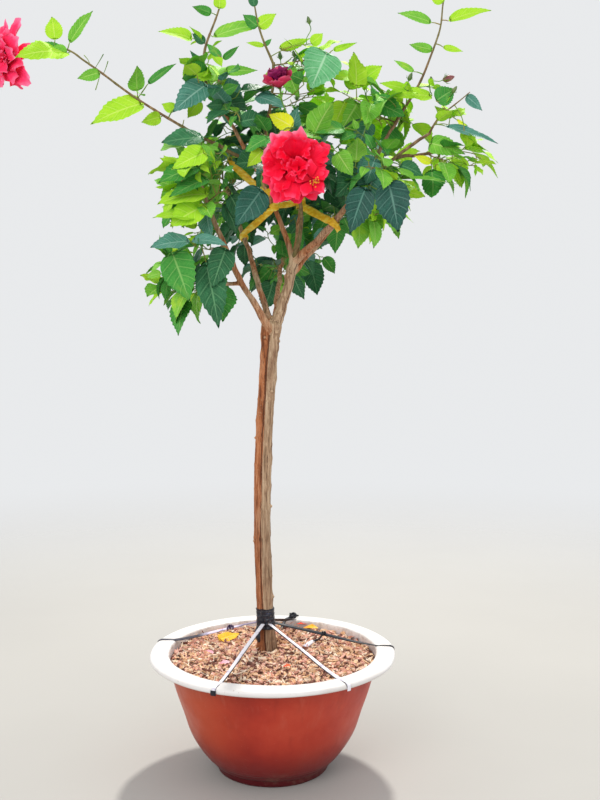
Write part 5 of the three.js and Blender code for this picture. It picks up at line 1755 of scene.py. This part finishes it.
# folded tufts at the left, below and at the upper right, and a crumpled middle
for ang, long, tilt, twist in ((95, 34, 46, 0.5), (150, 37, 56, -0.6), (205, 36, 54, 0.5), (262, 34, 48, -0.5), (350, 30, 30, 0.4)):
    blade(-31, 1, 12, ang, long, 0.95, tilt, 0.6, 0.14, 0.16, 0.0, twist)
for ang, long, tilt, twist in ((196, 34, 58, -0.3), (246, 37, 62, 0.3), (292, 35, 60, -0.3), (80, 30, 24, 0.3)):
    blade(-11, -33, 12, ang, long, 0.90, tilt, 0.5, 0.10, 0.12, 0.12, twist)
for ang, long, tilt, twist in ((350, 32, 56, 0.4), (38, 36, 54, -0.4), (92, 34, 48, 0.5), (180, 28, 26, -0.3)):
    blade(31, 17, 11, ang, long, 0.95, tilt, 0.6, 0.12, 0.15, 0.08, twist)
for ang, long, tilt, twist in ((10, 30, 26, 0.4), (86, 32, 18, -0.4), (160, 31, 28, 0.5), (232, 30, 30, -0.4), (300, 30, 34, 0.3)):
    blade(2, -6, 15, ang, long, 1.0, tilt, 0.7, 0.14, 0.20, 0.0, twist)


def anthers(rng, centre, axis, count, spread, long):
    a, b = facing(axis)
    for _ in range(count):
        ang, lean = rng.uniform(0, 6.28), rng.uniform(0.1, 1.0) * spread
        way = unit(axis + (math.cos(ang) * a + math.sin(ang) * b) * lean)
        reach_ = long * rng.uniform(0.6, 1.0)
        end = centre + way * reach_
        tube(stamens, catmull([centre, centre + axis * reach_ * 0.5, end], 3), 0.00035, 5, 1)
        side = unit(np.cross(way, rng.normal(size=3)))
        pts = catmull([end - side * 0.0013 - way * 0.0003, end + way * 0.0004, end + side * 0.0013 - way * 0.0003], 3)
        tube(stamens, pts, 0.0009 * np.array([0.35, 0.8, 1, 1.05, 1, 0.8, 0.35])[:len(pts)], 7, 0)


anthers(bloom_rng, HEART + (RIGHT_ * 29 - UP_ * 26) * MM + FRONT * 0.018, unit(FRONT + RIGHT_ * 0.35 - UP_ * 0.3), 22, 0.55, 0.024)
calyx(bloom_rng, HEART - FRONT * 0.006, FRONT, 0.024)
root = twig_near(TARGETS["main_bloom"])
flower_stalk(root, HEART - FRONT * 0.006, np.array([0.0, -0.5, 0.8]), FRONT, 0.0016)

# the far left bloom hangs at the end of its shoot and looks away to the left
far = Bag()
FAR = np.array([-0.532, -0.052, 1.474])
FAR_AXIS = unit(np.array([-0.50, -0.80, -0.05]))
FAR_HEART = FAR - FAR_AXIS * 0.014
whorl(far, bloom_rng, FAR_HEART, FAR_AXIS, [(ang, long, tilt, share, 0.45, 0.05, 0.13, point, lift) for ang, long, tilt, share, point, lift in (
    (8, 66, 86, 0.60, 0.0, 0), (62, 72, 84, 0.50, 0.2, 2), (98, 74, 90, 0.42, 0.3, 0), (140, 68, 86, 0.75, 0.0, 2), (186, 68, 90, 0.80, 0.0, 0), (232, 66, 84, 0.80, 0.0, 2), (276, 60, 90, 0.75, 0.0, 0), (318, 74, 86, 0.55, 0.1, 2))])
whorl(far, bloom_rng, FAR_HEART, FAR_AXIS, [(ang, 56, 64, 0.80, 0.7, 0.10, 0.14, 0.0, 6) for ang in (30, 78, 120, 165, 210, 255, 300, 342)])
whorl(far, bloom_rng, FAR_HEART, FAR_AXIS, [(ang, 45, 44, 0.95, 0.8, 0.12, 0.15, 0.0, 8) for ang in (10, 70, 130, 190, 250, 310)])
fa, fb = facing(FAR_AXIS)
for dx, dy, count, long in ((-14, 8, 6, 32), (15, 2, 6, 31), (0, -20, 6, 32), (4, 24, 5, 30)):
    off = (fa * dx + fb * dy) * MM
    heart(far, bloom_rng, FAR_HEART + off * 0.6 + FAR_AXIS * 0.008, unit(FAR_AXIS + off * 9), count, long, 50)
anthers(bloom_rng, FAR_HEART + FAR_AXIS * 0.020, FAR_AXIS, 16, 0.6, 0.022)
calyx(bloom_rng, FAR_HEART - FAR_AXIS * 0.006, FAR_AXIS, 0.024)
tip = SHOOTS_AT["shoot_far_left"][0][-1]
flower_stalk(tip, FAR_HEART - FAR_AXIS * 0.006, np.array([-0.9, 0.1, 0.25]), FAR_AXIS, 0.0015)

# the half-open bloom above the main one
dusk = Bag()
HALF = at(280, 87.5, -0.10)
HALF_AXIS = unit(np.array([-0.16, -0.42, 1.0]))
whorl(dusk, bloom_rng, HALF, HALF_AXIS, [(ang, long, tilt, 0.95, -0.55, 0.16, 0.06, 0.0, 0) for ang, long, tilt in ((270, 34, 64), (330, 35, 60), (35, 38, 46), (100, 39, 38), (165, 37, 54), (215, 35, 66))])
whorl(dusk, bloom_rng, HALF, HALF_AXIS, [(ang, 36, 28, 0.95, -0.2, 0.16, 0.12, 0.0, 4) for ang in (20, 90, 160, 235, 305)], 1)
heart(dusk, bloom_rng, HALF + HALF_AXIS * 0.010, HALF_AXIS, 7, 30, 26, 1)
calyx(bloom_rng, HALF - HALF_AXIS * 0.003, HALF_AXIS, 0.020)
for side in (-1, 1):
    petal(greens, bloom_rng, HALF, unit(np.array([side * 0.95, -0.2, -0.05])), np.array([0, -0.4, 1.0]), 0.030, 0.0042, 0.1, 0.02, 0.3, 0.4, 0, 0, 8, 3, claw=0.5)
root = twig_near(TARGETS["bud_bloom"])
flower_stalk(root, HALF - HALF_AXIS * 0.003, np.array([-0.3, 0, 1.0]), HALF_AXIS, 0.0014)

# closed buds read from the outline, then a few more by rule
for px, py, depth, tip_at, long, kind in ((309.5, 24, -0.02, (308, 17), 0.016, 1), (294.6, 57, -0.03, (293, 50), 0.014, 1), (220.5, 84, -0.02, (219, 76), 0.016, 2), (431.5, 82.5, -0.05, (431, 76), 0.013, 1), (443, 80, -0.05, (455, 76.5), 0.018, 2)):
    base = at(px, py, depth)
    way = at(*tip_at, depth) - base
    root = twig_near(base)
    closed_bud(bloom_rng, base, way, max(long, float(np.linalg.norm(way))), kind)
    flower_stalk(root, base, np.array([0, -0.1, 1.0]), unit(way), 0.0008)
high_tips = [k for k in order if pos[k][2] > 1.24 and (pos[k][1] > -0.02 or abs(pos[k][0] - 0.05) > 0.09)]
for k in bloom_rng.choice(high_tips, 12, replace=False):
    p, way = pos[k], unit(unit(pos[k] - CROWN) + np.array([0, 0, 0.9]) + bloom_rng.normal(0, 0.2, 3))
    base = p + way * bloom_rng.uniform(0.016, 0.030)
    flower_stalk(p, base, unit(p - pos[parent[k]]), way, 0.0008)
    closed_bud(bloom_rng, base, way, bloom_rng.uniform(0.013, 0.020), 1 if bloom_rng.uniform() < 0.75 else 2)

# stipules and dry stalks on the far left shoot
for x0, y0, x1, y1 in ((92, 63, 84, 55), (98, 66, 103.5, 54), (106, 71, 108, 61), (99, 72, 95.5, 90)):
    a_ = twig_near(at(x0, y0, -0.03))
    b_ = at(x1, y1, a_[1] - 0.004)
    tube(petioles, catmull([a_, (a_ + b_) / 2 + np.array([0.001, 0, 0.001]), b_], 4), np.linspace(0.0006, 0.0011, 9), 5)


def petal_shade(name, deep, body, bright, edge, rough=0.55):
    s = Shade(name, rough)
    s.b.inputs["Specular IOR Level"].default_value = 0.14
    uv = s.node("VectorMath", {0: s.uv(), 1: (TILES, TILES, 1)}, operation="MULTIPLY").outputs[0]
    cell = s.node("VectorMath", {0: uv}, operation="FLOOR").outputs[0]
    inside = s.node("VectorMath", {0: uv}, operation="FRACTION").outputs[0]
    chance = s.node("TexWhiteNoise", {"Vector": cell}, noise_dimensions="3D").outputs["Value"]
    x, y, _ = s.split(inside)
    across = s.math("ABSOLUTE", s.math("MULTIPLY_ADD", x, 2.0, -1.0))
    streak = s.noise(s.stretch(uv, (34, 2.4, 1)), 1.0, 4, 0.6)
    cloud = s.noise(uv, 3.5, 3, 0.5)
    # darker at the claw and paler pink at the outer edge and margins: partly the petal's own colour, partly painted
    # light on sunlit edges
    base = s.ramp(s.math("ADD", y, s.math("MULTIPLY", s.math("SUBTRACT", cloud, 0.5), 0.35)), [(0.02, deep), (0.34, body), (0.78, bright), (1.0, edge)])
    base = s.mix(s.math("MULTIPLY", s.step(streak, 0.50, 0.70), 0.18), base, deep)
    base = s.mix(s.math("MULTIPLY", s.step(streak, 0.46, 0.34), 0.12), base, edge)
    rim = s.math("MAXIMUM", s.step(y, 0.90, 1.0), s.step(across, 0.90, 1.0))
    base = s.mix(s.math("MULTIPLY", rim, 0.30), base, edge)
    base = s.mix(s.math("MULTIPLY", s.step(chance, 0.55, 1.0), 0.35), base, body)
    s.colour(base)
    return s.bump(s.math("ADD", s.math("MULTIPLY", streak, 0.7), s.math("MULTIPLY", cloud, 0.5)), 0.35, 0.0008).m


def green_shade(name, dark, mid, light, rough=0.5):
    s = Shade(name, rough)
    p = s.place()
    base = s.ramp(s.noise(p, 90, 3, 0.6), [(0.3, dark), (0.5, mid), (0.7, light)])
    return s.colour(base).bump(s.noise(p, 700, 2), 0.25, 0.0004).m


main_obj = main.build("bloom_main", [petal_shade("petal_red", "B0001C", "F00830", "FF1440", "FF4E76"), petal_shade("petal_lit_edge", "B0001E", "F00C34", "FC3460", "FF9ABC")], "petal_red")
# painted light: the far bloom wears a pinker, brighter copy of the red, as backlit
far_obj = far.build("bloom_far_left_petals", [petal_shade("petal_backlit_rose", "D00438", "F81C50", "FF3C70", "FF8CB4")], "petal_red")
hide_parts("bloom_far_left")
dusk_obj = dusk.build("bloom_half_open", [petal_shade("petal_crimson", "980C30", "CC2450", "DC3A64", "E66A8E"), petal_shade("petal_purple", "3C0C34", "6E1450", "921C58", "A83A70")], "petal_red")
greens.build("calyxes_and_buds", [green_shade("calyx_green", "3E6A26", "5E8C32", "88AC4E"), green_shade("bud_green", "3A5A30", "56703A", "7C8C56"), green_shade("bud_red", "6A3A3C", "8C4A4C", "A8705C")], "leaf_green", pattern=False)
stamens.build("stamens", [green_shade("anther_yellow", "E08A10", "F4B41C", "FCD84A", 0.7), green_shade("filament_red", "B81030", "D83048", "E86070")], "petal_red", pattern=False)

# ---------------------------------------------------------------- ties between the boughs
BOUGH_LINES = {name: (bowed(limb, np.linspace(0, 1, 240)), limb_radius(limb, np.linspace(0, 1, 240))) for name, limb in BOUGHS.items()}


def bough_at(name, px, py):
    """The place on a bough that the frame shows nearest to px, py."""
    if name == "twig":
        off = np.linalg.norm(seen_at(pos[first:]) - np.array([px, py]), axis=1) + 160 * np.abs(pos[first:, 1] - 0.10)
        k = int(off.argmin()) + first
        print("tie on twig off by", round(float(off.min()), 1), "at", np.round(pos[k] * 1000), "radius", round(float(radius[k]) * 1000, 2))
        return pos[k], unit(pos[k] - pos[parent[k]]), max(float(radius[k]), 0.0012)
    pts, rad = BOUGH_LINES[name]
    d = np.linalg.norm(seen_at(pts) - np.array([px, py]), axis=1)
    k = int(d.argmin())
    print("tie on", name, "off by", round(float(d[k]), 1), "px at", np.round(pts[k] * 1000))
    return pts[k], unit(pts[min(k + 1, 239)] - pts[max(k - 1, 0)]), rad[k]


def tie(bag, a, b, wide, m, sag, twist, tail, loops=7.4, front=0.0):
    """A band looped round two boughs, with a span between and a loose end."""
    ca, ta, ra = bough_at(*a)
    cb, tb, rb = bough_at(*b)
    lines, flats = [], []
    way = unit(cb - ca)
    for c, t, r, start, stop in ((ca, ta, ra, -loops, 0.0), (cb, tb, rb, 0.0, loops)):
        w = unit(way - np.dot(way, t) * t)
        e = unit(np.cross(w, t))
        if e[1] > 0:
            e = -e
        th = np.linspace(start, stop, 26)[:, None]
        gap = 0.0022 + 0.0008 * np.abs(th) / loops
        radial = e * np.cos(th) + w * np.sin(th)
        lines.append(c + (r + gap) * radial + t * th * 0.0008)
        flats.append(radial)
    s = np.linspace(0, 1, 12)[1:-1, None]
    span = lines[0][-1] * (1 - s) + lines[1][0] * s - np.array([0, 0, sag]) * 4 * s * (1 - s)
    side = unit(np.cross(way, flats[0][-1]))
    mid = flats[0][-1] * (1 - s) + flats[1][0] * s
    ahead = EYE - ca
    mid = unit(mid * (1 - front) + unit(ahead - np.dot(ahead, way) * way) * front)
    mid = mid * np.cos(twist * np.sin(math.pi * s)) + side * np.sin(twist * np.sin(math.pi * s))
    end = lines[1][-1]
    go = unit(lines[1][-1] - lines[1][-2])
    u = np.linspace(0, 1, 8)[1:, None]
    loose = end + go * tail * u * 0.5 + (np.array([0.15, -0.6, -0.8]) * tail) * u ** 1.6
    pts = np.vstack([lines[0], span, lines[1], loose])
    flat = np.vstack([flats[0], mid, flats[1], np.repeat(flats[1][-1:], 7, 0)])
    w = np.full(len(pts), wide)
    w[:26] *= 0.72
    w[36:] *= 0.72
    w = w * (1 + 0.08 * np.sin(np.arange(len(pts)) * 0.9))
    ribbon(bag, pts, w, 0.0009, flat, m, curl=0.10, across=5)


ties = Bag()
tie(ties, ("bough_high_left", 244, 236), ("bough_centre", 278, 207), 0.0140, 0, 0.001, 0.3, 0.012)
tie(ties, ("bough_centre", 279, 205), ("bough_middle", 300, 202), 0.0130, 0, 0.002, 0.3, 0.010)
tie(ties, ("bough_middle", 301, 205), ("bough_right", 335, 224), 0.0165, 1, 0.001, -0.3, 0.016)
tie(ties, ("twig", 229, 165), ("bough_centre", 273, 192), 0.0150, 1, 0.002, 0.25, 0.018, front=0.9)


def ribbon_shade(name, dark, mid, light):
    s = Shade(name, 0.42)
    p = s.place()
    fold = s.noise(s.stretch(p, (60, 60, 160)), 1.0, 4, 0.6)
    base = s.ramp(fold, [(0.3, dark), (0.5, mid), (0.68, light)])
    dirt = s.step(s.noise(p, 46, 4, 0.65), 0.52, 0.72)
    base = s.mix(s.math("MULTIPLY", dirt, 0.30), base, dark)
    return s.colour(base).bump(fold, 0.5, 0.0008).m


# painted light: the second finish, for the right tie and the upper band, is a brighter, yellower copy of the amber
# ribbon, as sunlit
ties_obj = ties.build("ties", [ribbon_shade("ribbon_amber", "E8A414", "FFCA28", "FFEC78"), ribbon_shade("ribbon_sunlit", "FFC41C", "FFE040", "FFF8A0")], "ribbon_yellow", pattern=False)
fixed_faces(ties_obj)
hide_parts("tie_left", "tie_right")


# ---------------------------------------------------------------- fallen on the mulch
fallen = Bag()
fall_rng = np.random.default_rng(3)
a_, b_ = on_bed(219, 640, 0.010), on_bed(241, 632, 0.012)
way = b_ - a_
v, uv = leaf_batch(fall_rng, np.array([np.linalg.norm(way)]), np.array([0.030]), a_[None], unit(way)[None], np.array([[0.1, -0.5, 1.0]]), np.array([0.15]), np.array([0.15]), np.array([0.05]))
fallen.many(v, LEAF_FACES, uv, 0)
fallen_petals = Bag()
for x0, y0, x1, y1, wide, m in ((297, 624, 317, 621, 0.026, 0), (303, 628, 318, 625.5, 0.020, 2), (219, 664, 229, 660, 0.016, 1), (206, 650, 213, 652, 0.010, 1), (283, 667, 291, 664, 0.012, 0)):
    a_, b_ = on_bed(x0, y0, 0.011), on_bed(x1, y1, 0.013)
    petal(fallen_petals, fall_rng, a_, b_ - a_, np.array([0, -0.3, 1.0]), float(np.linalg.norm(b_ - a_)), wide, 0.10, 0.08, 0.3, 0, 0, m, 12, 10)
fallen.build("fallen_leaf", [leaf_shade("amber", "E0980C", "F2B218", "FCCA3C", "FEDC80", rough=0.5, tint="F8E030")], "leaf_young")
fallen_petals.build("fallen_petals", [petal_shade("petal_orange", "C8300C", "E8481C", "F06A3A", "F49A70"), petal_shade("petal_pink", "D87890", "E898A8", "F0B4C0", "F6D0D8"), petal_shade("petal_amber", "E88A0C", "F6A818", "FCC440", "FEDC84")], "petal_red")

shoots_obj = shoot_bag.build("shoots", [bark_young], "bough_bark", pattern=False)
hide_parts(*SHOOTS)
twig_old.build("twigs_brown", [bark_young], "bough_bark", pattern=False)
twig_new.build("twigs_green", [green_stalk], "leaf_green", pattern=False)
petioles.build("leaf_stalks", [green_stalk], "leaf_green", pattern=False)


# ---------------------------------------------------------------- light and floor
def studio():
    me = bpy.data.meshes.new("floor")
    n, rmax = 96, 4.2
    a = np.linspace(0, 2 * math.pi, n, endpoint=False)
    v = np.vstack([[[0, 0, -0.0005]], np.stack([rmax * np.cos(a), rmax * np.sin(a), np.full(n, -0.0005)], 1)])
    me.from_pydata(v.tolist(), [], [(0, 1 + k, 1 + (k + 1) % n) for k in range(n)])
    me.update()
    floor = bpy.data.objects.new("floor", me)
    scene.collection.objects.link(floor)
    s = Shade("floor", 0.85)
    s.b.inputs["Specular IOR Level"].default_value = 0.2
    p = s.place()
    x, y, _ = s.split(p)
    far = s.math("SQRT", s.math("ADD", s.math("MULTIPLY", x, x), s.math("MULTIPLY", y, y)))
    s.colour(s.ramp(s.noise(p, 1.2, 3), [(0.3, "B2B0AC"), (0.7, "B6B4B0")]))
    # the floor fades out into the plain surround
    s.put(s.step(far, 3.9, 0.9), s.b.inputs["Alpha"])
    me.materials.append(s.m)

    world = bpy.data.worlds.new("sky")
    scene.world = world
    world.use_nodes = True
    t = world.node_tree
    bg = t.nodes["Background"]
    bg.inputs["Color"].default_value = (0.97, 0.985, 1.0, 1)
    bg.inputs["Strength"].default_value = 0.72

    def area(name, place, target, size, watts, colour=(1, 1, 1)):
        light = bpy.data.lights.new(name, "AREA")
        light.shape, light.size, light.energy, light.color = "DISK", size, watts, colour
        obj = bpy.data.objects.new(name, light)
        obj.location = place
        way = unit(np.array(target, float) - np.array(place, float))
        from mathutils import Vector
        obj.rotation_euler = Vector(way).to_track_quat("-Z", "Y").to_euler()
        scene.collection.objects.link(obj)
        return obj

    area("key", (0.5, 2.5, 4.2), (0, 0, 0.9), 0.36, 165, (1.0, 0.965, 0.90))
    area("front", (-1.6, -3.2, 2.4), (0, 0, 0.9), 2.2, 42, (1.0, 0.99, 0.97))
    area("side", (2.6, -1.4, 1.8), (0, 0, 1.0), 1.6, 8, (0.97, 0.98, 1.0))
    scene.view_settings.view_transform = "Standard"
    scene.view_settings.look = "None"
    scene.view_settings.exposure = 0.22


studio()
